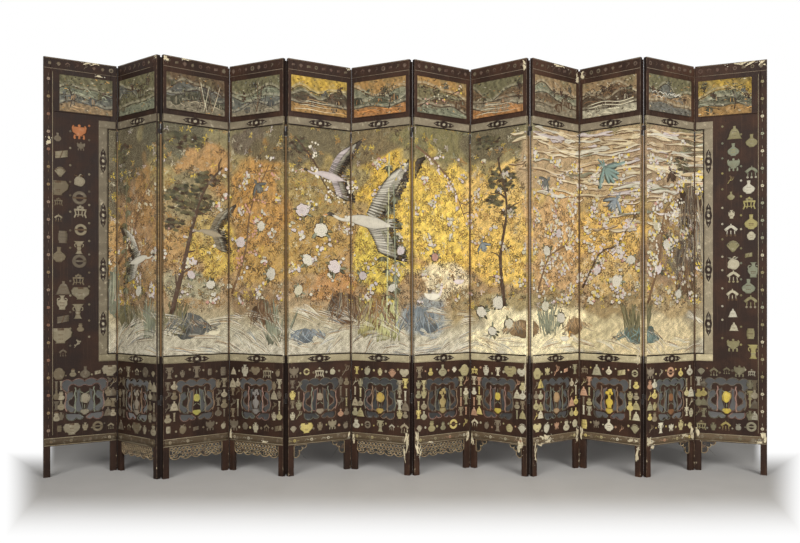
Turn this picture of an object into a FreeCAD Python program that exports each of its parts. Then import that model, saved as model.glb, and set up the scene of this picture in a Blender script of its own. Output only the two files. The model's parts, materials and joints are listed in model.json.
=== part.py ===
import FreeCAD, Part
import math
import os

import Sketcher

# A folding screen of twelve lacquered leaves that stand in an uneven zigzag on their own feet.
# Lengths are millimetres and angles are degrees. +Z is up and the painted fronts look towards -Y.
# Each leaf is drawn once, flat, in its own frame: X runs across the leaf from its left edge, Y runs
# back from its front face, Z runs up from the floor. Compounds then stand the twelve leaves in place.

doc = FreeCAD.newDocument("folding_screen")
Vector = FreeCAD.Vector

# Driving sizes: name, value, meaning.
SIZES = (
    ("screen_height", 2700.0, "floor to the top of the leaves"),
    ("leaf_width", 445.0, "one leaf, edge to edge"),
    ("leaf_thickness", 28.0, "front face to back face of the frame"),
    ("stile_width", 40.0, "upright of the frame, which runs down into the foot"),
    ("arris", 3.0, "bevel along the four long edges of a stile"),
    ("edge_rim", 6.0, "strip of stile left bare beside the boards"),
    ("board_thickness", 12.0, "picture board and pierced board"),
    ("foot_height", 198.0, "floor to the base rail"),
    ("base_rail_height", 53.0, "base rail, which carries the flower band"),
    ("fret_height", 480.0, "pierced board, base rail to seam"),
    ("seam_rail_height", 60.0, "rail behind the seam of the two boards"),
    ("neck_rail_height", 29.0, "rail under the landscape panel"),
    ("neck_bevel", 4.0, "bevel of the neck rail towards the landscape panel"),
    ("landscape_height", 231.0, "sight height of the landscape panel"),
    ("landscape_setback", 6.0, "front face to landscape panel"),
    ("landscape_thickness", 12.0, "landscape panel"),
    ("cornice_height", 41.0, "moulded lower part of the top rail"),
    ("cornice_lip", 2.0, "step between the top rail's face and its moulding"),
    ("cornice_fillet", 10.0, "upright foot of the moulding"),
    ("top_rail_height", 72.0, "flat upper part of the top rail"),
    ("window_width", 236.0, "pierced part of the lower board"),
    ("window_height", 252.0, "pierced part of the lower board"),
    ("end_band_width", 53.0, "flower band along the outer edge of the two end leaves"),
    ("end_border_width", 105.0, "outer edge of an end leaf to its landscape panel's sight"),
    ("apron_height", 84.0, "pierced apron under the base rail"),
    ("apron_thickness", 12.0, "pierced apron"),
    ("apron_setback", 6.0, "front face to apron"),
    ("bracket_reach", 92.0, "what is left of a broken apron, from the leg inwards"),
    ("edge_gap", 5.0, "between the edges of two leaves that stand in line"),
    ("hinge_standoff", 2.0, "hinge axis to the face that it folds towards"),
    ("plate_thickness", 2.0, "hinge plate on the edge of a leaf"),
    ("plate_reach", 22.0, "hinge plate, from the face that it folds towards"),
    ("hinge_half_height", 30.0, "pintle plate or eye plate"),
    ("lug_side", 6.0, "square lug that carries the pin"),
    ("eye_radius", 4.5, "outside of the eye"),
    ("pin_radius", 2.0, "pin of the pintle, over its corners"),
    ("pin_clearance", 0.08, "pin to eye, all round"),
    ("lift_clearance", 0.3, "lug to the eye that rests over it"),
    ("pin_drop", 1.0, "top of the pin below the top of the eye"),
    ("lower_hinge_height", 470.0, "floor to the foot of the lower hinge"),
    ("upper_hinge_drop", 500.0, "foot of the upper hinge below the top"),
    ("bead_flat", 4.3, "hinge axis to the flats of the draught bead"),
    ("bead_reach", 8.0, "hinge axis to the far edge of the bead's web"),
    ("bead_end_gap", 2.0, "end of a draught bead to the hinge beside it"),
    ("bead_floor_gap", 12.0, "foot of the lowest bead to the floor, and head of the highest to the top"),
    ("cut_overrun", 1.0, "how far a cutting tool stands out of what it cuts"),
)

# Flat sides that the smith left round the pin and the eye.
HINGE_SIDES = 8

# How far a curve turns along one straight cut of the fret saw.
CHORD_TURN = 44.0

# How far each leaf is turned from the line of the screen at rest, left to right. Leaves turn away
# from the viewer and towards the viewer by turns, the first one away.
REST_TURNS = (32.0, 37.7, 39.1, 27.4, 31.5, 27.7, 34.0, 39.2, 38.5, 41.7, 31.2, 22.8)

LEAVES = range(1, len(REST_TURNS) + 1)

# What the pierced board of each leaf shows in its middle.
FRET_MOTIFS = (
    "fruit", "vase", "blossom", "vase", "blossom", "fruit",
    "vase", "blossom", "fruit", "vase", "blossom", "fruit",
)

# The state of each leaf's apron: whole, or broken away to one or both of its corner brackets.
WHOLE_APRONS = (2, 3, 4, 6, 7)
BROKEN_APRONS = {5: ("left", "right"), 8: ("left", "right"), 11: ("right",), 12: ("left",)}

sheet = doc.addObject("Spreadsheet::Sheet", "sizes")
for row, (alias, number, meaning) in enumerate(SIZES, start=1):
    sheet.set(f"A{row}", alias)
    sheet.set(f"B{row}", f"{number:g}")
    sheet.set(f"C{row}", meaning)
    sheet.setAlias(f"B{row}", alias)
doc.recompute()

# Levels and places that several pieces share, as expressions on the sheet.
INNER_WIDTH = "(sizes.leaf_width - 2 * sizes.stile_width)"
BOARD_WIDTH = "(sizes.leaf_width - 2 * sizes.edge_rim)"
BASE_TOP = "(sizes.foot_height + sizes.base_rail_height)"
SEAM = f"({BASE_TOP} + sizes.fret_height)"
CORNICE_FOOT = "(sizes.screen_height - sizes.top_rail_height - sizes.cornice_height)"
NECK_TOP = f"({CORNICE_FOOT} - sizes.landscape_height)"
NECK_FOOT = f"({NECK_TOP} - sizes.neck_rail_height)"
AXIS_TO_EDGE = "(sizes.edge_gap / 2)"

# The field inside the flower band of an end leaf has its middle this far inwards of the leaf's.
END_SHIFT = "((sizes.end_band_width - sizes.edge_rim) / 2)"


def value(expression):
    """The number that an expression on the sheet stands for."""
    return float(sheet.evalExpression(expression))


def closed_sketch(body, plane_role, name, corners):
    """A closed sketch on one of the body's own planes. Each corner is a pair of expressions, and
    each is held to the sketch's origin by them."""
    sketch = body.newObject("Sketcher::SketchObject", name)
    plane = next(f for f in body.Origin.OriginFeatures if f.Role == plane_role)
    sketch.AttachmentSupport = [(plane, "")]
    sketch.MapMode = "FlatFace"
    points = [Vector(value(across), value(up), 0) for across, up in corners]
    last = len(points) - 1
    for i, point in enumerate(points):
        sketch.addGeometry(Part.LineSegment(point, points[0 if i == last else i + 1]))
    for i in range(len(points)):
        sketch.addConstraint(Sketcher.Constraint("Coincident", i, 2, 0 if i == last else i + 1, 1))
    for i, corner in enumerate(corners):
        for kind, expression, number in zip(("DistanceX", "DistanceY"), corner, points[i]):
            held = sketch.addConstraint(Sketcher.Constraint(kind, -1, 1, i, 1, number))
            sketch.setExpression(f"Constraints[{held}]", expression)
    return sketch


def pad(body, sketch, name, length):
    """The sketch drawn out by a length given as an expression."""
    feature = body.newObject("PartDesign::Pad", name)
    feature.Profile = sketch
    feature.setExpression("Length", length)
    doc.recompute()


def pocket(body, sketch, name, length):
    """The sketch cut out by a length given as an expression. It has to take something away."""
    before = body.Shape.Volume
    feature = body.newObject("PartDesign::Pocket", name)
    feature.Profile = sketch
    feature.setExpression("Length", length)
    doc.recompute()
    if body.Shape.Volume >= before:
        raise RuntimeError(f"{name} cuts nothing")


def board(name, start, extent):
    """A flat board. Its start corner and its extent are triples of expressions."""
    box = doc.addObject("Part::Box", name)
    for side, expression in zip(("Length", "Width", "Height"), extent):
        box.setExpression(side, expression)
    for axis, expression in zip("xyz", start):
        box.setExpression(f"Placement.Base.{axis}", expression)
    return box


def mirrored(name, source, normal, expression):
    """The source seen in a plane square to X or Y, at a place given as an expression."""
    mirror = doc.addObject("Part::Mirroring", name)
    mirror.Source = source
    mirror.Normal = normal
    mirror.setExpression("Base.x" if normal.x else "Base.y", expression)
    return mirror


def group(name, members):
    """Several solids that count as one piece and keep apart."""
    compound = doc.addObject("Part::Compound", name)
    compound.Links = members
    return compound


def make_stile():
    """Left stile: an upright with bevelled long edges, which runs down into the foot. Its front is
    rebated between base rail and neck rail, so that the boards lap over it up to the bare rim."""
    body = doc.addObject("PartDesign::Body", "stile_left")
    side, far = "sizes.stile_width", "sizes.leaf_thickness"
    bevel = "sizes.arris"
    section = closed_sketch(body, "XY_Plane", "stile_section", (
        (bevel, "0"), (f"{side} - {bevel}", "0"),
        (side, bevel), (side, f"{far} - {bevel}"),
        (f"{side} - {bevel}", far), (bevel, far),
        ("0", f"{far} - {bevel}"), ("0", bevel),
    ))
    pad(body, section, "stile_upright", "sizes.screen_height")
    clear = f"{side} + sizes.cut_overrun"
    rebate = closed_sketch(body, "XZ_Plane", "rebate_outline", (
        ("sizes.edge_rim", BASE_TOP), (clear, BASE_TOP),
        (clear, NECK_FOOT), ("sizes.edge_rim", NECK_FOOT),
    ))
    pocket(body, rebate, "board_rebate", "sizes.board_thickness")
    return body


def make_rail(name, corners):
    """A rail between the stiles. Its section is drawn in depth and height."""
    body = doc.addObject("PartDesign::Body", name)
    section = closed_sketch(body, "YZ_Plane", f"{name}_section", corners)
    section.setExpression("AttachmentOffset.Base.z", "sizes.stile_width")
    pad(body, section, f"{name}_length", INNER_WIDTH)
    return body


def make_top_rail():
    """Top rail: a flat decorated face, a small lip, and a moulding that falls back to the panel."""
    back, top = "sizes.leaf_thickness", "sizes.screen_height"
    lip_level = f"{top} - sizes.top_rail_height"
    slope_foot = f"{CORNICE_FOOT} + sizes.cornice_fillet"
    return make_rail("top_rail", (
        ("0", top), ("0", lip_level), ("sizes.cornice_lip", lip_level),
        ("sizes.landscape_setback", slope_foot), ("sizes.landscape_setback", CORNICE_FOOT),
        (back, CORNICE_FOOT), (back, top),
    ))


def make_neck_rail():
    """Neck rail under the landscape panel, bevelled towards it."""
    back = "sizes.leaf_thickness"
    return make_rail("neck_rail", (
        ("0", NECK_FOOT), (back, NECK_FOOT), (back, NECK_TOP),
        ("sizes.neck_bevel", NECK_TOP), ("0", f"{NECK_TOP} - sizes.neck_bevel"),
    ))


def make_flat_rail(name, front, foot, height):
    """A plain rail between the stiles, from a front depth to the back face."""
    start = ("sizes.stile_width", front, foot)
    return board(name, start, (INNER_WIDTH, f"sizes.leaf_thickness - {front}", height))


def drawn_face(path, place):
    """A flat face in the leaf's front plane. The path is its start followed by its strokes: a
    stroke of two shares is a line to a point, one of four is an arc through a point to a point.
    An arc is sawn as short straight cuts, so that twelve leaves of openwork stay light."""
    points = [place(*path[0])]
    for stroke in path[1:]:
        target = place(*stroke[-2:])
        if len(stroke) == 2:
            points.append(target)
        else:
            arc = Part.Arc(points[-1], place(*stroke[:2]), target)
            turn = math.degrees(abs(arc.LastParameter - arc.FirstParameter))
            cuts = math.ceil(turn / CHORD_TURN)
            points.extend(arc.discretize(Number=cuts + 1)[1:])
    if not points[-1].isEqual(points[0], Part.Precision.confusion()):
        points.append(points[0])
    return Part.Face(Part.makePolygon(points))


def both_hands(path):
    """A path and the same path turned over to the other side of the middle."""
    turned = []
    for stroke in path:
        turned.append(tuple(-share if i % 2 == 0 else share for i, share in enumerate(stroke)))
    return (path, tuple(turned))


def drawn_out(name, paths, place, front, depth):
    """Paths drawn in the front plane, moved back to a depth and drawn out into solids."""
    faces = doc.addObject("Part::Feature", f"{name}_outline")
    faces.Shape = Part.makeCompound([drawn_face(path, place) for path in paths])
    faces.setExpression("Placement.Base.y", front)
    solid = doc.addObject("Part::Extrusion", name)
    solid.Base = faces
    solid.DirMode = "Custom"
    solid.Dir = Vector(0, 1, 0)
    solid.Solid = True
    solid.setExpression("LengthFwd", depth)
    return solid


def cut_from(name, base, tool):
    """The base without the tool. It has to take something away."""
    cut = doc.addObject("Part::Cut", name)
    cut.Base = base
    cut.Tool = tool
    doc.recompute()
    if cut.Shape.Volume >= base.Shape.Volume:
        raise RuntimeError(f"{name} cuts nothing")
    return cut


# The openings of the pierced board, as shares of half the window's width and height from its middle.
# A bat-wing opening spans the top. The others are given for the right-hand side. The wood left
# between them is a lobed frame with a curled ribbon on each side of the motif.
BAT_WING_SHARES = (
    (0.00, 0.88), (0.32, 1.04, 0.62, 0.90), (1.06, 0.96, 0.98, 0.48),
    (0.88, 0.40, 0.80, 0.54), (0.68, 0.76, 0.38, 0.70), (0.16, 0.68, 0.00, 0.76),
    (-0.16, 0.68, -0.38, 0.70), (-0.68, 0.76, -0.80, 0.54), (-0.88, 0.40, -0.98, 0.48),
    (-1.06, 0.96, -0.62, 0.90), (-0.32, 1.04, 0.00, 0.88),
)
CURL_SHARES = (
    (0.62, 0.36), (0.88, 0.28, 0.90, -0.02), (1.00, -0.34, 0.80, -0.54),
    (0.58, -0.62, 0.58, -0.40), (0.72, -0.30), (0.82, -0.12, 0.66, 0.02), (0.56, 0.20),
)
FOOT_SHARES = (
    (0.90, -0.74), (0.82, -1.02, 0.46, -0.94), (0.26, -1.04, 0.08, -0.92), (0.34, -0.78),
)

# The share of half the width that each motif fills at its shoulder, its middle and its foot.
MOTIF_SHARES = {
    "vase": {"shoulder": 0.14, "middle": 0.34, "foot": 0.18},
    "fruit": {"shoulder": 0.26, "middle": 0.26, "foot": 0.10},
    "blossom": {"shoulder": 0.16, "middle": 0.20, "foot": 0.26},
}


def fret_openings(motif):
    """All the openings of one pierced board, with a slit on each side of its motif."""
    fill = MOTIF_SHARES[motif]
    slit = (
        (fill["shoulder"], 0.52), (0.44, 0.44), (0.38, 0.12, 0.45, -0.20),
        (0.44, -0.56, fill["foot"], -0.62), (fill["middle"], -0.10),
    )
    paths = [BAT_WING_SHARES]
    for path in (CURL_SHARES, FOOT_SHARES, slit):
        paths.extend(both_hands(path))
    return paths


def window_place(shift):
    """The rule that turns shares of half the window's width and height into a place in the leaf's
    front plane. The window's middle lies a shift to the right of the leaf's."""
    centre = value(f"sizes.leaf_width / 2 + {shift}")
    middle = value(f"{BASE_TOP} + sizes.fret_height / 2")
    half_width, half_height = value("sizes.window_width / 2"), value("sizes.window_height / 2")
    return lambda across, up: Vector(centre + across * half_width, 0, middle + up * half_height)


def make_fret(name, motif, shift):
    """Pierced lower board, with its openings sawn right through."""
    start = ("sizes.edge_rim", "0", BASE_TOP)
    blank = board(f"{name}_blank", start, (BOARD_WIDTH, "sizes.board_thickness", "sizes.fret_height"))
    openings = drawn_out(
        f"{name}_openings", fret_openings(motif), window_place(shift),
        "-sizes.cut_overrun", "sizes.board_thickness + 2 * sizes.cut_overrun",
    )
    return cut_from(name, blank, openings)


# The apron hangs in equal lobes, and a curl is sawn in each. The curl is given as shares of half
# a lobe's width from the lobe's middle and of the apron's height below the base rail.
APRON_LOBES = 5
LOBE_CUSP_SHARE = -0.74
LOBE_LOW_SHARE = -1.00
LOBE_CURL_SHARES = (
    (-0.58, -0.40), (-0.30, -0.10, 0.34, -0.20), (0.80, -0.42, 0.42, -0.78),
    (0.06, -0.82, 0.02, -0.54),
)


def lobe_shares(lobe):
    """The middle of one lobe and half its width, as shares of half the apron's width."""
    half = 1 / APRON_LOBES
    return (2 * lobe + 1) * half - 1, half


def apron_outline():
    """The outline of the whole apron: straight along the rail, lobed below."""
    path = [(1, 0), (-1, 0), (-1, LOBE_CUSP_SHARE)]
    for lobe in range(APRON_LOBES):
        middle, half = lobe_shares(lobe)
        path.append((middle, LOBE_LOW_SHARE, middle + half, LOBE_CUSP_SHARE))
    return path


def apron_curls():
    """The sawn curls. They turn outwards from the middle of the apron."""
    paths = []
    for lobe in range(APRON_LOBES):
        middle, half = lobe_shares(lobe)
        hand = -half if middle < -half / 2 else half
        paths.append([
            tuple(middle + share * hand if i % 2 == 0 else share for i, share in enumerate(stroke))
            for stroke in LOBE_CURL_SHARES
        ])
    return paths


def apron_place(across, up):
    """A place on the apron, from shares of half its width and of its height."""
    half = value(f"{INNER_WIDTH} / 2")
    return Vector(
        value("sizes.leaf_width / 2") + across * half,
        0,
        value("sizes.foot_height") + up * value("sizes.apron_height"),
    )


def make_whole_apron():
    """Pierced apron with a lobed lower edge, from leg to leg."""
    blank = drawn_out(
        "apron_blank", [apron_outline()], apron_place, "sizes.apron_setback", "sizes.apron_thickness",
    )
    openings = drawn_out(
        "apron_openings", apron_curls(), apron_place,
        "sizes.apron_setback - sizes.cut_overrun", "sizes.apron_thickness + 2 * sizes.cut_overrun",
    )
    return cut_from("apron_whole", blank, openings)


# What a broken apron leaves beside the left leg, as shares of its reach and of the apron's height.
BRACKET_SHARES = (
    (0.00, 0.00), (1.00, 0.00), (0.94, -0.22, 0.62, -0.16),
    (0.62, -0.46, 0.34, -0.44), (0.36, -0.90, 0.00, -0.96),
)


def bracket_place(across, up):
    """A place on the left bracket, from shares of its reach and of the apron's height."""
    return Vector(
        value("sizes.stile_width") + across * value("sizes.bracket_reach"),
        0,
        value("sizes.foot_height") + up * value("sizes.apron_height"),
    )


def make_bracket():
    """Cusped corner bracket left of a broken apron, beside the left leg."""
    return drawn_out(
        "bracket_left", (BRACKET_SHARES,), bracket_place, "sizes.apron_setback", "sizes.apron_thickness",
    )


def forged(body, way, name, over_corners, height):
    """A round bar or bore with the hinge's flat sides, about the hinge axis. Its radius is taken
    over the corners."""
    prism = body.newObject(f"PartDesign::{way}Prism", name)
    prism.Polygon = HINGE_SIDES
    prism.setExpression("Circumradius", over_corners)
    prism.setExpression("Height", height)
    doc.recompute()


def make_pintle():
    """Pintle: a plate on the edge of a leaf, a square lug across the gap, and a pin that stands on
    the lug. It is drawn about its own axis, with the leaf on its left."""
    body = doc.addObject("PartDesign::Body", "pintle")
    edge, half = f"-{AXIS_TO_EDGE}", "sizes.lug_side / 2"
    face = f"{edge} + sizes.plate_thickness"
    reach = "sizes.hinge_standoff + sizes.plate_reach"
    section = closed_sketch(body, "XY_Plane", "pintle_section", (
        (edge, f"-{half}"), (half, f"-{half}"), (half, half), (face, half),
        (face, reach), (edge, reach),
    ))
    pad(body, section, "pintle_plate", "sizes.hinge_half_height")
    above = "sizes.lift_clearance + sizes.hinge_half_height - sizes.pin_drop"
    forged(body, "Additive", "pintle_pin", "sizes.pin_radius", f"sizes.hinge_half_height + {above}")
    return body


def make_eye():
    """Eye: a plate on the edge of the next leaf, rolled into a bored eye that drops over the pin.
    It is drawn about its own axis, with the leaf on its right."""
    body = doc.addObject("PartDesign::Body", "eye")
    forged(body, "Additive", "eye_roll", "sizes.eye_radius", "sizes.hinge_half_height")
    edge = AXIS_TO_EDGE
    face = f"{edge} - sizes.plate_thickness"
    root = "sizes.eye_radius - sizes.plate_thickness"
    reach = "sizes.hinge_standoff + sizes.plate_reach"
    section = closed_sketch(body, "XY_Plane", "eye_section", (
        (face, root), (edge, root), (edge, reach), (face, reach),
    ))
    pad(body, section, "eye_plate", "sizes.hinge_half_height")
    before = body.Shape.Volume
    over_corners = f"(sizes.pin_radius + sizes.pin_clearance) / cos(180 / {HINGE_SIDES})"
    forged(body, "Subtractive", "eye_bore", over_corners, "sizes.hinge_half_height")
    if body.Shape.Volume >= before:
        raise RuntimeError("the eye has no bore")
    return body


def make_bead(name, foot, top):
    """One length of the draught bead: a six-sided bead about the hinge axis, which shuts the gap
    between two leaves at every angle, and a web that joins it to the edge of the leaf on its left.
    It is drawn about the hinge axis, between two heights given as expressions."""
    body = doc.addObject("PartDesign::Body", name)
    flat, corner, waist = "sizes.bead_flat", "sizes.bead_flat / cos(30)", "sizes.bead_flat * tan(30)"
    edge = f"-{AXIS_TO_EDGE}"
    face = f"{edge} + sizes.plate_thickness"
    shoulder = f"({corner} - {AXIS_TO_EDGE}) / tan(30)"
    section = closed_sketch(body, "XY_Plane", f"{name}_section", (
        (f"-{corner}", "0"), (f"-{waist}", f"-{flat}"), (waist, f"-{flat}"), (corner, "0"),
        (waist, flat), (face, flat), (face, "sizes.bead_reach"), (edge, "sizes.bead_reach"),
        (edge, shoulder),
    ))
    section.setExpression("AttachmentOffset.Base.z", foot)
    pad(body, section, f"{name}_length", f"{top} - ({foot})")
    bead = group(f"{name}_set", [body])
    bead.setExpression("Placement.Base.x", f"sizes.leaf_width + {AXIS_TO_EDGE}")
    bead.setExpression("Placement.Base.y", "-sizes.hinge_standoff")
    return bead


def make_beads():
    """The three lengths of draught bead along one edge: below, between and above the hinges."""
    lower = "sizes.lower_hinge_height"
    upper = "(sizes.screen_height - sizes.upper_hinge_drop)"
    tall = "2 * sizes.hinge_half_height + sizes.lift_clearance + sizes.bead_end_gap"
    spans = (
        ("bead_low", "sizes.bead_floor_gap", f"{lower} - sizes.bead_end_gap"),
        ("bead_middle", f"{lower} + {tall}", f"{upper} - sizes.bead_end_gap"),
        ("bead_high", f"{upper} + {tall}", "sizes.screen_height - sizes.bead_floor_gap"),
    )
    return [make_bead(*span) for span in spans]


def hinge_pair(name, source, across, rise):
    """The source twice, at the heights of the two hinges. The leaf's edge is at an expression."""
    low = "sizes.lower_hinge_height"
    high = "sizes.screen_height - sizes.upper_hinge_drop"
    members = []
    for word, level in (("lower", low), ("upper", high)):
        member = group(f"{name}_{word}", [source])
        member.setExpression("Placement.Base.x", across)
        member.setExpression("Placement.Base.y", "-sizes.hinge_standoff")
        member.setExpression("Placement.Base.z", f"{level} + {rise}")
        members.append(member)
    return members


def turned_to_back(members):
    """The same hinge pieces for an axis at the back face."""
    return [
        mirrored(f"{member.Name}_back", member, Vector(0, 1, 0), "sizes.leaf_thickness / 2")
        for member in members
    ]


stile_left = make_stile()
stile_right = mirrored("stile_right", stile_left, Vector(1, 0, 0), "sizes.leaf_width / 2")
seam_foot = f"{SEAM} - sizes.seam_rail_height / 2"
FRAME_PIECES = [
    stile_left,
    stile_right,
    make_top_rail(),
    make_neck_rail(),
    make_flat_rail("seam_rail", "sizes.board_thickness", seam_foot, "sizes.seam_rail_height"),
    make_flat_rail("base_rail", "0", "sizes.foot_height", "sizes.base_rail_height"),
]
picture_board = board(
    "picture_board", ("sizes.edge_rim", "0", SEAM),
    (BOARD_WIDTH, "sizes.board_thickness", f"{NECK_FOOT} - {SEAM}"),
)
landscape_panel = board(
    "landscape_panel", ("sizes.stile_width", "sizes.landscape_setback", NECK_TOP),
    (INNER_WIDTH, "sizes.landscape_thickness", "sizes.landscape_height"),
)
PANEL_PIECES = [picture_board, landscape_panel]
FRETS = {motif: make_fret(f"fret_{motif}", motif, "0") for motif in MOTIF_SHARES}

# The end leaves carry a flower band along their outer edge. It pushes their pierced window inwards,
# and a flush border board beside the outer stile makes their landscape panel narrower.
border_left = board(
    "border_left", ("sizes.stile_width", "0", NECK_TOP),
    ("sizes.end_border_width - sizes.stile_width", "sizes.landscape_setback", "sizes.landscape_height"),
)
END_BORDERS = {
    LEAVES[0]: border_left,
    LEAVES[-1]: mirrored("border_right", border_left, Vector(1, 0, 0), "sizes.leaf_width / 2"),
}
END_FRETS = {
    LEAVES[0]: make_fret("fret_left_end", FRET_MOTIFS[0], END_SHIFT),
    LEAVES[-1]: make_fret("fret_right_end", FRET_MOTIFS[-1], f"-{END_SHIFT}"),
}
whole_apron = make_whole_apron()
bracket_left = make_bracket()
BRACKETS = {
    "left": bracket_left,
    "right": mirrored("bracket_right", bracket_left, Vector(1, 0, 0), "sizes.leaf_width / 2"),
}
pintles_front = hinge_pair(
    "pintle_front", make_pintle(), f"sizes.leaf_width + {AXIS_TO_EDGE}", "0",
)
eyes_front = hinge_pair(
    "eye_front", make_eye(), f"-{AXIS_TO_EDGE}", "sizes.hinge_half_height + sizes.lift_clearance",
)
beads_front = make_beads()
doc.recompute()
pintles_back = turned_to_back(pintles_front)
eyes_back = turned_to_back(eyes_front)
beads_back = turned_to_back(beads_front)
doc.recompute()


def folds_to_front(joint):
    """Whether the leaves on both sides of a joint close front to front: every odd joint does."""
    return joint % 2 == 1


def hinge_pieces(leaf):
    """Eyes on the left edge and pintles on the right edge, on the side that each joint folds to."""
    pieces = []
    if leaf > 1:
        pieces += eyes_front if folds_to_front(leaf - 1) else eyes_back
    if leaf < len(REST_TURNS):
        pieces += pintles_front if folds_to_front(leaf) else pintles_back
    return pieces


def frame_pieces(leaf):
    """Stiles and rails, and the draught bead on the right edge of every leaf that has a neighbour."""
    if leaf == LEAVES[-1]:
        return FRAME_PIECES
    return FRAME_PIECES + (beads_front if folds_to_front(leaf) else beads_back)


def leaf_nodes(leaf):
    """Every node of one leaf: name and pieces."""
    nodes = {
        "frame": frame_pieces(leaf),
        "panels": PANEL_PIECES,
        "openwork": [END_FRETS[leaf] if leaf in END_FRETS else FRETS[FRET_MOTIFS[leaf - 1]]],
        "hinges": hinge_pieces(leaf),
    }
    if leaf in END_BORDERS:
        nodes["panels"] = PANEL_PIECES + [END_BORDERS[leaf]]
    if leaf in WHOLE_APRONS:
        nodes["apron"] = [whole_apron]
    if leaf in BROKEN_APRONS:
        nodes["apron"] = [BRACKETS[side] for side in BROKEN_APRONS[leaf]]
    return {f"{kind}_{leaf:02d}": pieces for kind, pieces in nodes.items()}


def leaf_placements():
    """Where each leaf stands: the chain of leaves turned by its rest angles about the hinge axes,
    which lie at the front face and at the back face by turns."""
    width, thickness = value("sizes.leaf_width"), value("sizes.leaf_thickness")
    out, standoff = value(AXIS_TO_EDGE), value("sizes.hinge_standoff")
    axis = None
    placements = []
    for leaf, turn in zip(LEAVES, REST_TURNS):
        rotation = FreeCAD.Rotation(Vector(0, 0, 1), turn if leaf % 2 else -turn)
        sides = [-standoff if folds_to_front(joint) else thickness + standoff
                 for joint in (leaf - 1, leaf)]
        corner = Vector() if axis is None else axis - rotation.multVec(Vector(-out, sides[0], 0))
        placements.append(FreeCAD.Placement(corner, rotation))
        axis = corner + rotation.multVec(Vector(width + out, sides[1], 0))
    return placements


def centred(placements, shape):
    """The same placements, moved so that the middle of the whole footprint is at the origin."""
    bounds = FreeCAD.BoundBox()
    for placement in placements:
        stood = shape.copy().transformGeometry(placement.toMatrix())
        bounds.add(stood.optimalBoundingBox(False))
    middle = Vector(bounds.Center.x, bounds.Center.y, 0)
    return [FreeCAD.Placement(p.Base - middle, p.Rotation) for p in placements]


frame_shape = Part.makeCompound([stile_left.Shape, stile_right.Shape])
nodes = []
for leaf, placement in zip(LEAVES, centred(leaf_placements(), frame_shape)):
    for label, pieces in leaf_nodes(leaf).items():
        node = group(label, pieces)
        node.Label = label
        node.Placement = placement
        nodes.append(node)
doc.recompute()

for item in doc.Objects:
    if "Invalid" in item.State or "Error" in item.State:
        raise RuntimeError(f"{item.Name} did not build: {item.State}")
for node in nodes:
    if node.Shape.isNull() or not node.Shape.isValid():
        raise RuntimeError(f"{node.Label} has no valid shape")

os.makedirs("parts", exist_ok=True)
for node in nodes:
    node.Shape.exportStep(f"parts/{node.Label}.step")

print(f"{len(nodes)} nodes, {sum(len(node.Shape.Solids) for node in nodes)} solids")
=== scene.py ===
"""A folding screen of twelve lacquered leaves, dressed over its carpentry.

Every leaf is decorated flat, in its own frame: u runs across the leaf from its left edge, d runs back
from its front face and z runs up from the floor, all in metres. The garden over the leaves is laid
out on one long strip, with s = leaf number times leaf width plus u, and is cut at the leaves' edges.
Ornament is inlay in low relief: each form is a closed shell with a domed front."""
import json
import math

import bmesh
import bpy
import numpy as np
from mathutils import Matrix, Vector

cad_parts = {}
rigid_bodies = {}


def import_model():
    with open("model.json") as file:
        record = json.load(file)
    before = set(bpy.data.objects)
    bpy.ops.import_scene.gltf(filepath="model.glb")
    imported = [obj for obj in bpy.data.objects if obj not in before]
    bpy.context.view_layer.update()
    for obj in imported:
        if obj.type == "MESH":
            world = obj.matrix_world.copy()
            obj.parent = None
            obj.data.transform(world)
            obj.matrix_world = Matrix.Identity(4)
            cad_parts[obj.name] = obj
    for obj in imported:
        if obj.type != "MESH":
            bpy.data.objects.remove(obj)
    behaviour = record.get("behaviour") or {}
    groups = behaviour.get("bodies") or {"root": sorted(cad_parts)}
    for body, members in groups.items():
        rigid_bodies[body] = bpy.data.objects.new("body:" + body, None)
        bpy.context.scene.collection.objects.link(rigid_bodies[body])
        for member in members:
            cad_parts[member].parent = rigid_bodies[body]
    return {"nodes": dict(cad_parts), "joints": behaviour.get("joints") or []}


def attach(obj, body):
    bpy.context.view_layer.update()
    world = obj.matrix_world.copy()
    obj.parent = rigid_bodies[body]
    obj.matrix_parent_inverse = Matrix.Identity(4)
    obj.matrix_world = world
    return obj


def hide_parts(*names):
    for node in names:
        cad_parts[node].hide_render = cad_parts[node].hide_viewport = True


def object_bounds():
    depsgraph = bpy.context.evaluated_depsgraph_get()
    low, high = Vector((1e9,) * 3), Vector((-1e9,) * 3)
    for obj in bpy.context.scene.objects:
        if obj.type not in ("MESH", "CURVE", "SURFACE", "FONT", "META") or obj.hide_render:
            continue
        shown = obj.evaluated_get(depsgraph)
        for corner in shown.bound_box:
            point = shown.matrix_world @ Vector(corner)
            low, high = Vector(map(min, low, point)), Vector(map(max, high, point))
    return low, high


for leftover in list(bpy.data.objects):
    bpy.data.objects.remove(leftover)
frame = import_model()
cad_box = [list(map(float, corner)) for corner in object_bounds()]

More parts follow.
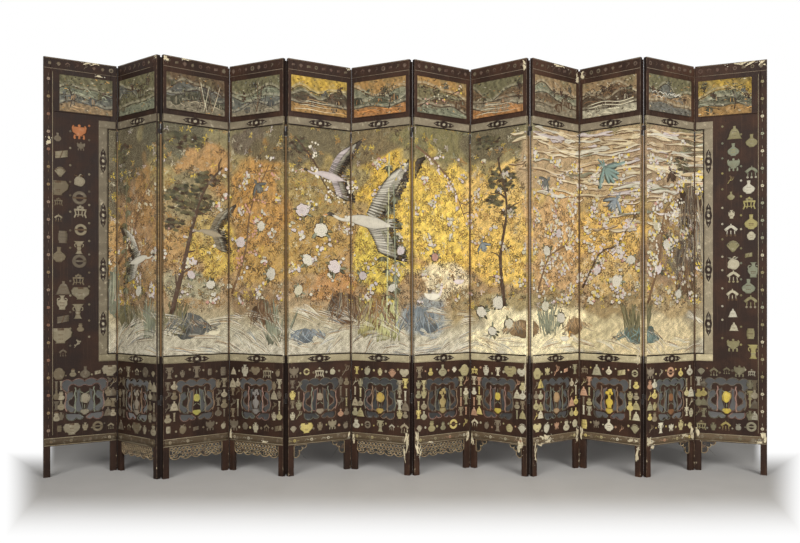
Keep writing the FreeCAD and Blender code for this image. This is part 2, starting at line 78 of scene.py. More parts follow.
# The leaf, as the joiner made it.
LEAF_WIDTH = 0.445
THICKNESS = 0.028
STILE = 0.040
RIM = 0.006
BOARD = 0.012
EDGE_GAP = 0.005
STANDOFF = 0.002
BASE_FOOT, BASE_TOP, SEAM = 0.198, 0.251, 0.731
NECK_FOOT, NECK_TOP, CORNICE_FOOT, FILLET, TOP = 2.327, 2.356, 2.587, 2.628, 2.700
LANDSCAPE_SETBACK = 0.006
END_BAND, END_BORDER = 0.053, 0.105
WINDOW_WIDTH, WINDOW_HEIGHT = 0.236, 0.252
APRON_HEIGHT, APRON_THICKNESS, APRON_SETBACK, BRACKET_REACH = 0.084, 0.012, 0.006, 0.092
TURNS = (32.0, 37.7, 39.1, 27.4, 31.5, 27.7, 34.0, 39.2, 38.5, 41.7, 31.2, 22.8)
LEAVES = range(len(TURNS))
FIRST, LAST = LEAVES[0], LEAVES[-1]
FRET_MOTIFS = ("fruit", "vase", "blossom", "vase", "blossom", "fruit") + ("vase", "blossom", "fruit") * 2
WHOLE_APRONS = (1, 2, 3, 5, 6)
BROKEN_APRONS = {4: (1, -1), 7: (1, -1), 10: (-1,), 11: (1,)}

# The painter's levels and margins.
BAND_FOOT, LINE_FOOT, SCENE_FOOT = SEAM, 0.776, 0.784
SCENE_TOP, LINE_TOP, BAND_TOP = 2.270, 2.278, NECK_FOOT
MARGIN = 0.002
LEFT, RIGHT = MARGIN, LEAF_WIDTH - MARGIN
END_SCENE, END_STRIP = 0.051, 0.113
LINE = 0.007
# The gap between two laid fields, and how closely places stand on the ground, the bands and the lines.
HAIR = 0.001
GROUND_PITCH, BAND_PITCH, LINE_PITCH = 0.009, 0.010, 0.02
# How softly the edges of the openwork are broken, and how far from a leaf's edges its losses end.
FRET_BEVEL, APRON_BEVEL, LOSS_MARGIN = 0.0006, 0.0008, 0.0035
# How far the paint runs back over an edge, and how thick the relief still is where it is pressed flat.
WRAP, FLATTENED = 0.0195, 0.0004
# Base heights and reliefs of forms are given in tenths of a millimetre: so many to a metre.
TENTHS = 10000
# An arc of the sawyer's is drawn in chords of at most this turn.
ARC_STEP = math.radians(9)


def pigment(red, green, blue):
    """A colour named by its screen values from 0 to 255, turned into light."""
    share = np.array((red, green, blue)) / 255
    return np.where(share < 0.04045, share / 12.92, ((share + 0.055) / 1.055) ** 2.4)


INK = pigment(37, 25, 19)
GREIGE = pigment(152, 140, 116)
GESSO = pigment(222, 214, 190)
CREAM = pigment(206, 196, 166)
OLIVE = pigment(118, 111, 80)
MOSS = pigment(84, 82, 64)
SLATE = pigment(104, 104, 98)
SAGE = pigment(140, 142, 118)
OCHRE = pigment(186, 142, 82)
TAN = pigment(168, 138, 100)
GOLD = pigment(214, 174, 70)
YELLOW = pigment(224, 194, 84)
RUST = pigment(196, 134, 76)
BLUSH = pigment(214, 200, 194)
ROSE = pigment(198, 152, 134)
BLUE = pigment(134, 142, 144)
WATER = pigment(212, 204, 178)
BARK = pigment(112, 86, 62)
SOIL = pigment(78, 60, 47)
TEAL = pigment(124, 144, 134)
WHITE = pigment(220, 212, 192)
BLACK = pigment(0, 0, 0)


def luck(*seed):
    """A random generator of its own for every place that needs one."""
    return np.random.default_rng(seed)


def drift(x, y, scale, seed):
    """Smooth noise about zero: the mean of eight plane waves of random heading, length and phase."""
    draw = luck(seed)
    heading, phase = draw.uniform(0, 2 * math.pi, (2, 8))
    pace = 2 * math.pi / scale * draw.uniform(0.6, 1.6, 8)
    x, y = np.asarray(x, float)[..., None], np.asarray(y, float)[..., None]
    return np.sin(pace * (x * np.cos(heading) + y * np.sin(heading)) + phase).mean(-1)


# Where the leaves stand.

def leaf_places():
    """Corner and turn of every leaf: a chain about the hinge axes, which lie before the front face and
    behind the back face by turns, moved so that its first axis is the first joint's."""
    places, axes = [], [np.zeros(2)]
    for leaf, turn in enumerate(TURNS):
        angle = math.radians(turn if leaf % 2 == 0 else -turn)
        across, back = np.array(((math.cos(angle), math.sin(angle)), (-math.sin(angle), math.cos(angle))))
        near, far = (-STANDOFF if joint % 2 else THICKNESS + STANDOFF for joint in (leaf, leaf + 1))
        corner = axes[-1] + across * EDGE_GAP / 2 - back * near
        places.append((corner, angle))
        axes.append(corner + across * (LEAF_WIDTH + EDGE_GAP / 2) + back * far)
    first = next(joint for joint in frame["joints"] if joint["name"] == "fold_01_02")["pos_m"]
    shift = np.array(first[:2]) - axes[1]
    return [(corner + shift, angle) for corner, angle in places]


PLACES = leaf_places()


def world(leaf, u, d, z):
    """Places in a leaf's frame as places in the room: turned about Z and moved to the leaf's corner."""
    (x0, y0), angle = PLACES[leaf]
    return np.stack((x0 + u * math.cos(angle) - d * math.sin(angle),
                     y0 + u * math.sin(angle) + d * math.cos(angle), z), -1)


# Forms: closed shells in shares of their own size, with x across, y up and h the height in relief.

class Form:
    """A closed shell: its places (x, y, h), the corners of its faces, and how light each place is."""

    def __init__(self, places, faces, shade):
        self.places, self.shade = places, shade
        self.corners = np.concatenate(faces)
        self.sizes = np.array([len(face) for face in faces])


def quads(index):
    """The corners of every cell in a grid of place numbers."""
    return np.stack((index[:-1, :-1], index[:-1, 1:], index[1:, 1:], index[1:, :-1]), -1).reshape(-1, 4)


def strip_form(x, y, h, shade):
    """A shell from a grid whose rows run along the form and whose columns run to the right across it:
    the grid in front, one flat face behind every row and one at each end."""
    rows, columns = x.shape
    index = np.arange(rows * columns).reshape(rows, columns)
    back = np.stack((index[:-1, 0], index[1:, 0], index[1:, -1], index[:-1, -1]), -1)
    faces = [*quads(index), *back, index[0, ::-1], index[-1]]
    return Form(np.stack((x, y, h), -1).reshape(-1, 3), faces, shade.reshape(-1))


# Places across a form, with the height and the lightness there: a steep rim and a flat top, or a ridge.
TABLET = (np.array((-1, -0.84, 0, 0.84, 1)), np.array((0, 0.9, 1, 0.9, 0)),
          np.array((0.5, 0.9, 1, 0.9, 0.5)))
BLADE = (np.array((-1, 0, 1)), np.array((0, 1, 0)), np.array((0.62, 1.0, 0.5)))


def turned_profile(profile, section=TABLET, rows=12):
    """A vessel's outline: the half width at each height runs smoothly through the profile's points,
    and the section gives the relief across it."""
    up, half = np.array(profile, float).T
    y = np.linspace(0, 1, rows)
    half = np.interp(y, up, half)
    across, height, light = section
    ends = np.minimum(1, 0.35 + np.minimum(np.arange(rows), np.arange(rows)[::-1]))
    return strip_form(half[:, None] * across, np.repeat(y[:, None], len(across), 1),
                      ends[:, None] * height, np.repeat(light[None], rows, 0))


def rounded(points, steps):
    """A smooth path through points: on each stretch the cubic whose slope at a point is half the way
    between its neighbours."""
    points = np.array(points, float)
    padded = np.vstack((2 * points[0] - points[1], points, 2 * points[-1] - points[-2]))
    a, b, c, d = (padded[i:len(padded) - 3 + i, None] for i in range(4))
    t = np.linspace(0, 1, steps, endpoint=False)[None, :, None]
    cubic = (b + t * (c - a) / 2 + t ** 2 * (a - 2.5 * b + 2 * c - d / 2)
             + t ** 3 * (1.5 * b - a / 2 - 1.5 * c + d / 2))
    return np.vstack((cubic.reshape(-1, points.shape[1]), points[-1]))


def stroke(points, widths, section, steps):
    """A brush stroke: the section carried along a smooth path, square to it, as wide as the widths
    between its points."""
    widths = np.broadcast_to(widths, len(points))
    path = rounded([(*point, width) for point, width in zip(points, widths)], steps)
    way = np.gradient(path[:, :2], axis=0)
    way /= np.maximum(np.linalg.norm(way, axis=1, keepdims=True), 1e-9)
    right = np.stack((way[:, 1], -way[:, 0]), -1)
    across, height, light = section
    half = np.maximum(path[:, 2:], 1e-4) / 2
    grid = path[:, None, :2] + right[:, None] * (half * across)[..., None]
    return strip_form(grid[..., 0], grid[..., 1], np.repeat(height[None], len(path), 0) + 0.02,
                      np.repeat(light[None], len(path), 0))


def rosette(radius, rings, heart):
    """A flower or a stone seen from above: the radius at each angle, shrunk ring by ring, where a ring
    has its share of the radius, its height and its lightness; the heart closes the middle."""
    radius = np.asarray(radius, float)
    turn = np.linspace(0, 2 * math.pi, len(radius), endpoint=False)
    rim = np.stack((radius * np.cos(turn), radius * np.sin(turn)), -1)
    share, height, light = np.array(rings).T
    count, n = len(share), len(radius)
    flat = (share[:, None, None] * rim).reshape(-1, 2)
    places = np.vstack((np.column_stack((flat, np.repeat(height, n))), (0, 0, heart[0])))
    index = np.arange(count * n).reshape(count, n)
    fan = np.stack((index[-1], np.roll(index[-1], -1), np.full(n, count * n)), -1)
    faces = [*quads(np.column_stack((index, index[:, 0]))), *fan, index[0, ::-1]]
    return Form(places, faces, np.append(np.repeat(light, n), heart[1]))


def petals(count, depth, n, fold=1.0):
    """Radii of a flower: one lobe for each petal, each lobe the root of half a cosine wave."""
    turn = np.linspace(0, 2 * math.pi, n, endpoint=False)
    return 1 - depth * (1 - np.abs(np.cos(turn * count / 2)) ** fold)


def ragged(n, roughness, seed):
    """Radii of a broken or natural outline: one, plus noise that fades towards short waves."""
    turn = np.linspace(0, 2 * math.pi, n, endpoint=False)
    draw = luck(seed, n)
    waves = np.arange(1, 9)
    phase = draw.uniform(0, 2 * math.pi, len(waves))
    power = draw.uniform(0.4, 1, len(waves)) / waves ** 0.8
    return 1 + roughness * (power * np.cos(turn[:, None] * waves + phase)).sum(-1)


# Pieces: each gathers the forms that one leaf carries in one finish.

class Inlay:
    """The forms of one piece, gathered in a leaf's frame before they become its mesh. Everything is
    held inside bounds across and up, so that a form which runs past them ends on them."""

    def __init__(self, leaf, bounds=(LEFT, RIGHT, 0.0, TOP)):
        self.leaf, self.bounds = leaf, bounds
        self.places, self.corners, self.sizes, self.paints, self.count = [], [], [], [], 0

    def add(self, places, corners, sizes, paints):
        """Places (u, d, z) with their faces and paints."""
        self.places.append(places)
        self.corners.append(corners + self.count)
        self.sizes.append(sizes)
        self.paints.append(paints)
        self.count += len(places)

    def press(self, form, u, z, paint, size=1.0, turn=0.0, base=2, relief=4):
        """Presses the form at one place or many: scaled by size (across, up), turned, set at the base
        height over the front face with its relief on top, both in tenths of a millimetre."""
        u, z, turn = np.atleast_1d(u), np.atleast_1d(z), np.atleast_1d(turn)
        count = max(len(u), len(z), len(turn))
        size = np.broadcast_to(np.atleast_2d(size), (count, 2) if np.ndim(size) else (count, 1))
        x = form.places[None, :, 0] * size[:, :1]
        y = form.places[None, :, 1] * size[:, -1:]
        cosine, sine = np.cos(turn)[:, None], np.sin(turn)[:, None]
        across = u[:, None] + x * cosine - y * sine
        up = z[:, None] + x * sine + y * cosine
        low_u, high_u, low_z, high_z = self.bounds
        across, up = np.clip(across, low_u, high_u), np.clip(up, low_z, high_z)
        depth = np.broadcast_to(-base / TENTHS - relief / TENTHS * form.places[:, 2], across.shape)
        paint = np.broadcast_to(np.atleast_2d(paint), (count, 3))
        steps = np.arange(count)[:, None] * len(form.places)
        self.add(
            np.stack((across, depth, up), -1).reshape(-1, 3),
            (form.corners[None] + steps).reshape(-1), np.tile(form.sizes, count),
            (paint[:, None] * form.shade[None, :, None]).reshape(-1, 3),
        )

    def draw(self, points, widths, paint, base=2, relief=4, steps=5, section=TABLET):
        """Draws one stroke straight in the leaf's frame."""
        self.press(stroke(points, widths, section, steps), 0.0, 0.0, paint, base=base, relief=relief)

    def lay(self, u0, u1, z0, z1, top, pitch, tint, under=1):
        """Lays a sheet: a grid in front at the top height, a flat back under the face, joined at the
        rim; both are in tenths of a millimetre. The tint turns places across and up into paints."""
        columns, rows = max(2, round((u1 - u0) / pitch) + 1), max(2, round((z1 - z0) / pitch) + 1)
        u, z = np.meshgrid(np.linspace(u0, u1, columns), np.linspace(z0, z1, rows))
        index = np.arange(rows * columns).reshape(rows, columns)
        front = quads(index)
        loop = np.concatenate((index[0, :-1], index[:-1, -1], index[-1, :0:-1], index[:0:-1, 0]))
        hind = rows * columns + np.arange(len(loop))
        skirt = np.stack((loop, hind, np.roll(hind, -1), np.roll(loop, -1)), -1)
        flat = np.stack((u.ravel(), np.full(u.size, -top / TENTHS), z.ravel()), -1)
        rear = flat[loop] * (1, 0, 1) + (0, under / TENTHS, 0)
        paints = tint(u.ravel(), z.ravel())
        corners = np.concatenate((front.ravel(), skirt.ravel(), hind[::-1]))
        sizes = np.concatenate((np.full(len(front) + len(skirt), 4), [len(loop)]))
        self.add(np.vstack((flat, rear)), corners, sizes, np.vstack((paints, paints[loop])))

    def fold(self, side):
        """Folds sheets laid flat over onto an edge of the leaf: what ran across now runs back from the
        front face, on the right edge for a side of one and on the left edge for minus one."""
        edge = LEAF_WIDTH if side > 0 else 0.0
        for places in self.places:
            places[:, 0], places[:, 1] = edge - side * places[:, 1], side * places[:, 0]

    def finish(self, name, material, slot):
        """Makes the mesh in the room, with its paints and its place on the long strip of leaves."""
        places, paints = np.vstack(self.places), np.vstack(self.paints)
        plan = np.column_stack((self.leaf * LEAF_WIDTH + places[:, 0], places[:, 2], np.zeros(len(places))))
        sizes = np.concatenate(self.sizes)
        # The foremost ridge of the screen is the box's front, and there the relief flattens out against it.
        room, front = world(self.leaf, *places.T), cad_box[0][1]
        excess = np.maximum(front + FLATTENED - room[:, 1], 0)
        room[:, 1] = np.maximum(room[:, 1], front + FLATTENED * np.exp(-excess / FLATTENED))
        mesh = bpy.data.meshes.new(name)
        mesh.vertices.add(len(places))
        mesh.vertices.foreach_set("co", room.astype(np.float32).ravel())
        mesh.loops.add(int(sizes.sum()))
        mesh.loops.foreach_set("vertex_index", np.concatenate(self.corners).astype(np.int32))
        mesh.polygons.add(len(sizes))
        mesh.polygons.foreach_set("loop_start", (np.cumsum(sizes) - sizes).astype(np.int32))
        mesh.update(calc_edges=True)
        colours = mesh.color_attributes.new("paint", "FLOAT_COLOR", "POINT")
        opaque = np.column_stack((paints, np.ones(len(paints))))
        colours.data.foreach_set("color", opaque.astype(np.float32).ravel())
        strip = mesh.attributes.new("plan", "FLOAT_VECTOR", "POINT")
        strip.data.foreach_set("vector", plan.astype(np.float32).ravel())
        return carried(name, mesh, self.leaf, material, slot)


def carried(name, mesh, leaf, material, slot):
    """An object of the mesh that rides on its leaf."""
    piece = bpy.data.objects.new(name, mesh)
    bpy.context.scene.collection.objects.link(piece)
    mesh.materials.append(material)
    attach(piece, f"leaf_{leaf + 1:02d}")
    return piece


# Finishes.

def operator(operation, reflected=False):
    """One arithmetic sign between a shader value and another value or number."""
    def combine(self, other):
        pair = (other, self) if reflected else (self, other)
        return self.finish.node("Math", {"operation": operation}, *pair)
    return combine


class Value:
    """A shader socket in a Python sum: every sign adds one Math node."""

    __add__ = __radd__ = operator("ADD")
    __mul__ = __rmul__ = operator("MULTIPLY")
    __sub__, __rsub__ = operator("SUBTRACT"), operator("SUBTRACT", True)
    __truediv__ = operator("DIVIDE")

    def __init__(self, finish, socket):
        self.finish, self.socket = finish, socket

    def step(self, low, high):
        """Smooth step: 0 below low, 1 above high, or the other way round where low is the larger."""
        settings = {"interpolation_type": "SMOOTHSTEP"}
        if low < high:
            return self.finish.node("MapRange", settings, self, low, high)
        return self.finish.node("MapRange", settings, self, high, low, 1.0, 0.0)

    def of(self, operation, *others):
        """Any other Math operation on this value."""
        return self.finish.node("Math", {"operation": operation}, self, *others)


class Finish:
    """A material while it is mixed, or the light of the room. Its colour is what is mixed so far."""

    def __init__(self, name, owner=None):
        self.owner = owner or bpy.data.materials.new(name)
        self.owner.use_nodes = True
        self.tree = self.owner.node_tree
        self.shader = self.tree.nodes["Background" if owner else "Principled BSDF"]
        self.colour = None

    def node(self, kind, settings, *inputs, out=0, **named):
        """A node of a kind, its settings first, then the values or links of its sockets in order or by
        name, and the socket that comes out."""
        node = self.tree.nodes.new("ShaderNode" + kind)
        for key, setting in settings.items():
            setattr(node, key, setting)
        for key, given in [*enumerate(inputs), *named.items()]:
            self.feed(node.inputs[key], given)
        return Value(self, node.outputs[out])

    def feed(self, socket, given):
        """Links a value to a socket, or writes a number or colour there."""
        if isinstance(given, Value):
            self.tree.links.new(given.socket, socket)
        elif np.ndim(given):
            socket.default_value = (*given, 1.0) if len(socket.default_value) == 4 else tuple(given)
        else:
            socket.default_value = given

    def place(self, scale=(1, 1, 1)):
        """Object coordinates, stretched."""
        here = self.node("TexCoord", {}, out="Object")
        return self.node("Mapping", {}, Vector=here, Scale=scale)

    def strip(self, scale=(1, 1, 1)):
        """The place on the long strip of leaves, stretched."""
        here = self.node("Attribute", {"attribute_name": "plan"}, out="Vector")
        return self.node("Mapping", {}, Vector=here, Scale=scale)

    def noise(self, where, scale, detail=3.0, roughness=0.55):
        """Clouded noise from 0 to 1."""
        return self.node("TexNoise", {}, Vector=where, Scale=scale, Detail=detail, Roughness=roughness)

    def cells(self, where, scale, feature="F1", out="Distance"):
        """Cells: the distance to a seed or to an edge, or a colour for each cell."""
        return self.node("TexVoronoi", {"feature": feature}, Vector=where, Scale=scale, out=out)

    def mix(self, first, second, factor):
        """Two colours in a mixture."""
        node = self.tree.nodes.new("ShaderNodeMix")
        node.data_type = "RGBA"
        for key, given in ((0, factor), (6, first), (7, second)):
            self.feed(node.inputs[key], given)
        return Value(self, node.outputs[2])

    def paint(self):
        """The colour that the mesh carries."""
        return self.node("Attribute", {"attribute_name": "paint"}, out="Color")

    def stain(self, tint, share):
        """Mixes a share of a tint into the colour so far."""
        self.colour = self.mix(self.colour, tint, share)

    def parts(self, vector):
        """The three numbers of a vector."""
        node = self.tree.nodes.new("ShaderNodeSeparateXYZ")
        self.feed(node.inputs[0], vector)
        return [Value(self, socket) for socket in node.outputs]

    def done(self, roughness, height=None, strength=0.3, distance=0.001, **fixed):
        """Joins the colour, roughness and relief to the shader; other sockets get one number each."""
        self.feed(self.shader.inputs["Base Color"], self.colour)
        self.feed(self.shader.inputs["Roughness"], roughness)
        if height is not None:
            bump = self.node("Bump", {}, Strength=strength, Distance=distance, Height=height)
            self.feed(self.shader.inputs["Normal"], bump)
        for name, number in fixed.items():
            self.shader.inputs[name.replace("_", " ")].default_value = number
        return self.owner


def lacquer(name, leaf):
    """Old lacquer: browned in clouds, scuffed in upright streaks, crackled, and worn to the ground along
    the leaf's two edges, on its feet and along its top. Painted light: it is darker on the left-hand
    leaves and lighter on the right-hand ones, with the last leaf between."""
    finish = Finish(name)
    here = finish.place()
    cloud = finish.noise(here, 7.0)
    streak = finish.noise(finish.place((150, 150, 4)), 1.0, 4.0)
    speck = finish.noise(here, 420.0, 2.0)
    crackle = finish.cells(here, 95.0, "DISTANCE_TO_EDGE").step(0.045, 0.0)
    # Painted light, not wear: worn is a gain that lightens the lacquer from leaf to leaf towards the right.
    worn = 0.85 + 0.085 * min(leaf, 7) if leaf < LAST else 1.1
    finish.colour = finish.mix(INK * worn, pigment(60, 40, 29) * worn, cloud.step(0.35, 0.75) * 0.75)
    finish.stain(pigment(88, 68, 52) * worn, streak.step(0.54, 0.80) * 0.34)
    finish.stain(pigment(98, 80, 60) * worn, speck.step(0.60, 0.76) * 0.40)
    finish.stain(pigment(22, 17, 16), crackle * 0.5)
    height = crackle * -0.4 + streak * 0.25 + speck * 0.15
    (x0, y0), angle = PLACES[leaf]
    flat = finish.node("Mapping", {"vector_type": "TEXTURE"}, Vector=here,
                       Location=(x0, y0, 0), Rotation=(0, 0, angle))
    across, _, up = finish.parts(flat)
    inset = across.of("MINIMUM", LEAF_WIDTH - across).of("MINIMUM", (TOP - up) * 1.4)
    fray = finish.noise(here, 34.0, 5.0, 0.7)
    face = inset.step(0.0002, 0.0012)
    rubbed = (inset + (fray - 0.5) * 0.016).step(0.0025, 0.0002) * face
    low = up.step(0.30, 0.02)
    bare = (inset * 0.6 + (fray - 0.5) * 0.05 + 0.012 - low * 0.006).step(0.003, 0.001) * face
    finish.colour = finish.mix(pigment(24, 19, 17), finish.colour, face * 0.7 + 0.3)
    finish.stain(pigment(122, 102, 80), rubbed * 0.5)
    finish.stain(pigment(196, 182, 152), bare * 0.85)
    height = height - bare * 1.5
    # The bead in the seam stands outside the leaf's width, and is painted as high as the scene.
    bead = across.step(LEAF_WIDTH + 0.0004, LEAF_WIDTH + 0.0008)
    bead = bead * up.step(LINE_FOOT, SCENE_FOOT) * up.step(LINE_TOP, SCENE_TOP)
    finish.stain(pigment(118, 94, 64), bead * 0.85)
    rough = cloud * 0.25 + speck * 0.2 + 0.30
    return finish.done(rough, height, 0.35, 0.0012, Specular_IOR_Level=0.10)


def painted(name, crackle_share, fleck, scratch=0.0, pale=0.16):
    """Paint in the incised ground: the piece's own colours, worn in flecks and upright streaks, a
    little uneven from stroke to stroke, and crackled. A scratched ground is also cut up by incised
    lines into bent cells, each with a tone of its own."""
    finish = Finish(name)
    flat = finish.strip()
    cloud = finish.noise(flat, 26.0, 4.0)
    streak = finish.noise(finish.strip((260, 9, 1)), 1.0, 3.0)
    speck = finish.noise(flat, 330.0, 3.0, 0.6)
    crackle = finish.cells(flat, 120.0, "DISTANCE_TO_EDGE").step(0.05, 0.0)
    finish.colour = finish.mix(finish.paint(), pigment(96, 80, 60), cloud.step(0.5, 0.8) * 0.35)
    finish.stain(pigment(232, 222, 196), cloud.step(0.48, 0.2) * pale)
    finish.stain(pigment(70, 56, 44), speck.step(0.56, 0.72) * fleck)
    finish.stain(pigment(60, 48, 40), streak.step(0.56, 0.8) * 0.3)
    finish.stain(pigment(40, 32, 28), crackle * crackle_share)
    height = crackle * -0.5 + speck * 0.3
    if scratch:
        bent = finish.node("VectorMath", {"operation": "ADD"}, flat,
                           finish.node("TexNoise", {}, Vector=flat, Scale=38.0, Detail=2.0, out="Color"))
        incised = finish.cells(bent, 62.0, "DISTANCE_TO_EDGE").step(0.11, 0.03)
        tone = finish.cells(bent, 62.0, out="Color")
        shade = finish.parts(tone)[0]
        finish.stain(pigment(86, 74, 52), shade.step(0.55, 1.0) * 0.5 * scratch)
        finish.stain(pigment(236, 222, 178), shade.step(0.42, 0.0) * 0.42 * scratch)
        finish.stain(pigment(58, 48, 34), incised * 0.75 * scratch)
        height = height - incised * 0.8
    return finish.done(speck * 0.25 + 0.48, height, 0.3, 0.0008, Specular_IOR_Level=0.12)


DIAPER = 0.0105


def brocade(name):
    """The greige band: its paint under a small diaper of dark lines, worn pale in patches. The diaper is
    the product of two sine waves, across and up."""
    finish = Finish(name)
    flat = finish.strip()
    across, up, _ = finish.parts(flat)
    wave = (across * 2 * math.pi / DIAPER).of("SINE") * (up * 2 * math.pi / DIAPER).of("SINE")
    lattice = wave.of("ABSOLUTE").step(0.30, 0.12)
    dot = wave.of("ABSOLUTE").step(0.80, 0.95)
    worn = finish.noise(flat, 30.0, 4.0, 0.65)
    speck = finish.noise(flat, 300.0, 3.0)
    finish.colour = finish.mix(finish.paint(), pigment(70, 58, 46), lattice * worn.step(0.70, 0.46) * 0.8)
    finish.stain(pigment(104, 96, 82), dot * 0.35)
    finish.stain(pigment(206, 194, 166), worn.step(0.56, 0.74) * 0.4)
    finish.stain(pigment(84, 74, 62), speck.step(0.58, 0.75) * 0.5)
    return finish.done(0.55 + speck * 0.2, speck - lattice * 0.6, 0.3, 0.0008, Specular_IOR_Level=0.12)


def gilded(name):
    """Worn gilding over carved wood: gold-tan on the high places, brown glue and dust in the low ones."""
    finish = Finish(name)
    here = finish.place()
    cloud = finish.noise(here, 45.0, 4.0)
    speck = finish.noise(here, 360.0, 3.0)
    finish.colour = finish.mix(finish.paint(), pigment(92, 68, 46), cloud.step(0.48, 0.7) * 0.7)
    finish.stain(pigment(222, 206, 170), speck.step(0.6, 0.74) * 0.5)
    finish.stain(SOIL, finish.noise(here, 150.0, 3.0).step(0.55, 0.7) * 0.5)
    return finish.done(0.42 + cloud * 0.3, speck + cloud, 0.4, 0.001, Metallic=0.15)


def iron(name):
    """Forged iron: dark, with brown rust in clouds and hammer marks."""
    finish = Finish(name)
    here = finish.place()
    rust = finish.noise(here, 90.0, 4.0)
    finish.colour = finish.mix(pigment(50, 47, 45), pigment(96, 62, 42), rust.step(0.5, 0.75) * 0.7)
    return finish.done(0.5 + rust * 0.3, finish.cells(here, 160.0), 0.4, 0.0006, Metallic=0.6)


def gesso(name):
    """Where the lacquer has broken away: the chalky ground, stained and coarse."""
    finish = Finish(name)
    here = finish.place()
    stain = finish.noise(here, 60.0, 4.0)
    grit = finish.noise(here, 500.0, 3.0)
    finish.colour = finish.mix(finish.paint(), pigment(160, 140, 108), stain.step(0.5, 0.75) * 0.6)
    finish.stain(pigment(110, 88, 66), grit.step(0.6, 0.75) * 0.5)
    return finish.done(0.85, grit + stain, 0.5, 0.001)


# The garden scene, laid out on the long strip. Distances along it count leaves from the left end.

# The washes of the ground, laid one over another: middle (leaves, height), reach (leaves, height),
# screen values of the pigment, and strength.
WASHES = (
    (0.95, 2.06, 1.00, 0.38, (64, 58, 46), 0.97), (1.5, 1.62, 0.50, 0.28, (170, 128, 88), 0.85),
    (1.7, 1.80, 0.22, 0.22, (176, 130, 74), 0.8), (1.4, 1.20, 0.55, 0.16, (128, 98, 68), 0.85),
    (2.62, 2.02, 0.40, 0.16, (184, 136, 80), 0.9), (2.2, 2.20, 0.50, 0.13, (58, 60, 50), 0.95),
    (2.36, 1.80, 0.32, 0.16, (116, 110, 80), 0.9), (2.75, 1.50, 0.40, 0.20, (212, 180, 76), 0.9),
    (2.35, 1.22, 0.45, 0.09, (164, 158, 128), 0.9), (3.6, 1.75, 0.50, 0.45, (200, 146, 72), 0.95),
    (3.40, 2.20, 0.30, 0.11, (80, 68, 64), 0.9), (3.7, 1.38, 0.50, 0.16, (196, 154, 78), 0.85),
    (3.5, 1.12, 0.45, 0.09, (130, 98, 66), 0.8), (4.35, 2.16, 0.85, 0.20, (76, 66, 44), 0.95),
    (4.42, 1.86, 0.46, 0.20, (156, 132, 72), 0.9), (4.4, 1.50, 0.55, 0.20, (184, 146, 72), 0.85),
    (4.75, 1.22, 0.40, 0.11, (190, 134, 76), 0.9), (5.5, 2.18, 0.60, 0.15, (98, 80, 50), 0.9),
    (5.7, 1.80, 0.50, 0.30, (230, 186, 62), 0.9), (5.5, 1.42, 0.50, 0.24, (224, 196, 74), 0.9),
    (5.3, 1.08, 0.40, 0.13, (136, 100, 62), 0.9), (6.5, 2.19, 0.70, 0.13, (104, 98, 58), 0.95),
    (6.5, 1.68, 0.70, 0.36, (238, 200, 84), 0.92), (6.5, 1.26, 0.50, 0.12, (246, 228, 186), 0.94),
    (6.25, 1.02, 0.36, 0.13, (132, 146, 154), 0.85), (6.9, 1.10, 0.30, 0.12, (158, 136, 92), 0.8),
    (7.35, 2.20, 0.55, 0.14, (80, 72, 54), 0.95), (7.5, 1.74, 0.62, 0.30, (238, 198, 112), 0.94),
    (7.55, 1.42, 0.62, 0.20, (246, 204, 100), 0.98), (7.6, 1.13, 0.55, 0.07, (162, 144, 98), 0.9),
    (8.5, 2.02, 0.60, 0.30, (184, 154, 116), 0.9), (8.55, 1.60, 0.56, 0.26, (216, 172, 116), 0.95),
    (8.5, 1.32, 0.56, 0.12, (206, 164, 112), 0.95), (8.5, 1.12, 0.50, 0.07, (150, 132, 92), 0.85),
    (8.2, 0.91, 1.15, 0.18, (255, 240, 194), 0.97), (9.5, 2.04, 0.60, 0.28, (184, 156, 116), 0.9),
    (9.5, 1.55, 0.60, 0.22, (228, 184, 96), 0.95), (9.5, 1.30, 0.56, 0.13, (212, 178, 112), 0.9),
    (9.6, 1.10, 0.56, 0.09, (150, 126, 84), 0.9), (9.4, 0.90, 0.60, 0.13, (206, 190, 146), 0.9),
    (10.4, 0.90, 0.80, 0.16, (222, 202, 156), 0.92),
    (10.35, 2.02, 0.55, 0.30, (158, 130, 102), 0.9), (10.35, 1.45, 0.45, 0.24, (134, 104, 80), 0.9),
    (10.5, 1.14, 0.55, 0.12, (180, 154, 108), 0.92), (11.0, 1.60, 0.20, 0.90, (120, 112, 96), 0.6),
    (10.90, 1.78, 0.20, 0.40, (70, 60, 49), 0.95), (10.72, 1.42, 0.30, 0.18, (88, 76, 64), 0.88),
    (2.5, 1.74, 0.42, 0.20, (170, 150, 108), 0.5), (6.5, 1.60, 0.50, 0.20, (250, 214, 96), 0.6),
)
# What lies under the washes: pigments at rising heights.
GROUND_LEVELS = (SCENE_FOOT, 0.92, 1.02, 1.14, 1.50, 1.95, SCENE_TOP)
GROUND_TINTS = np.array((pigment(196, 188, 168), pigment(192, 184, 160), pigment(170, 156, 124), TAN, OCHRE,
                         pigment(160, 142, 90), OLIVE))


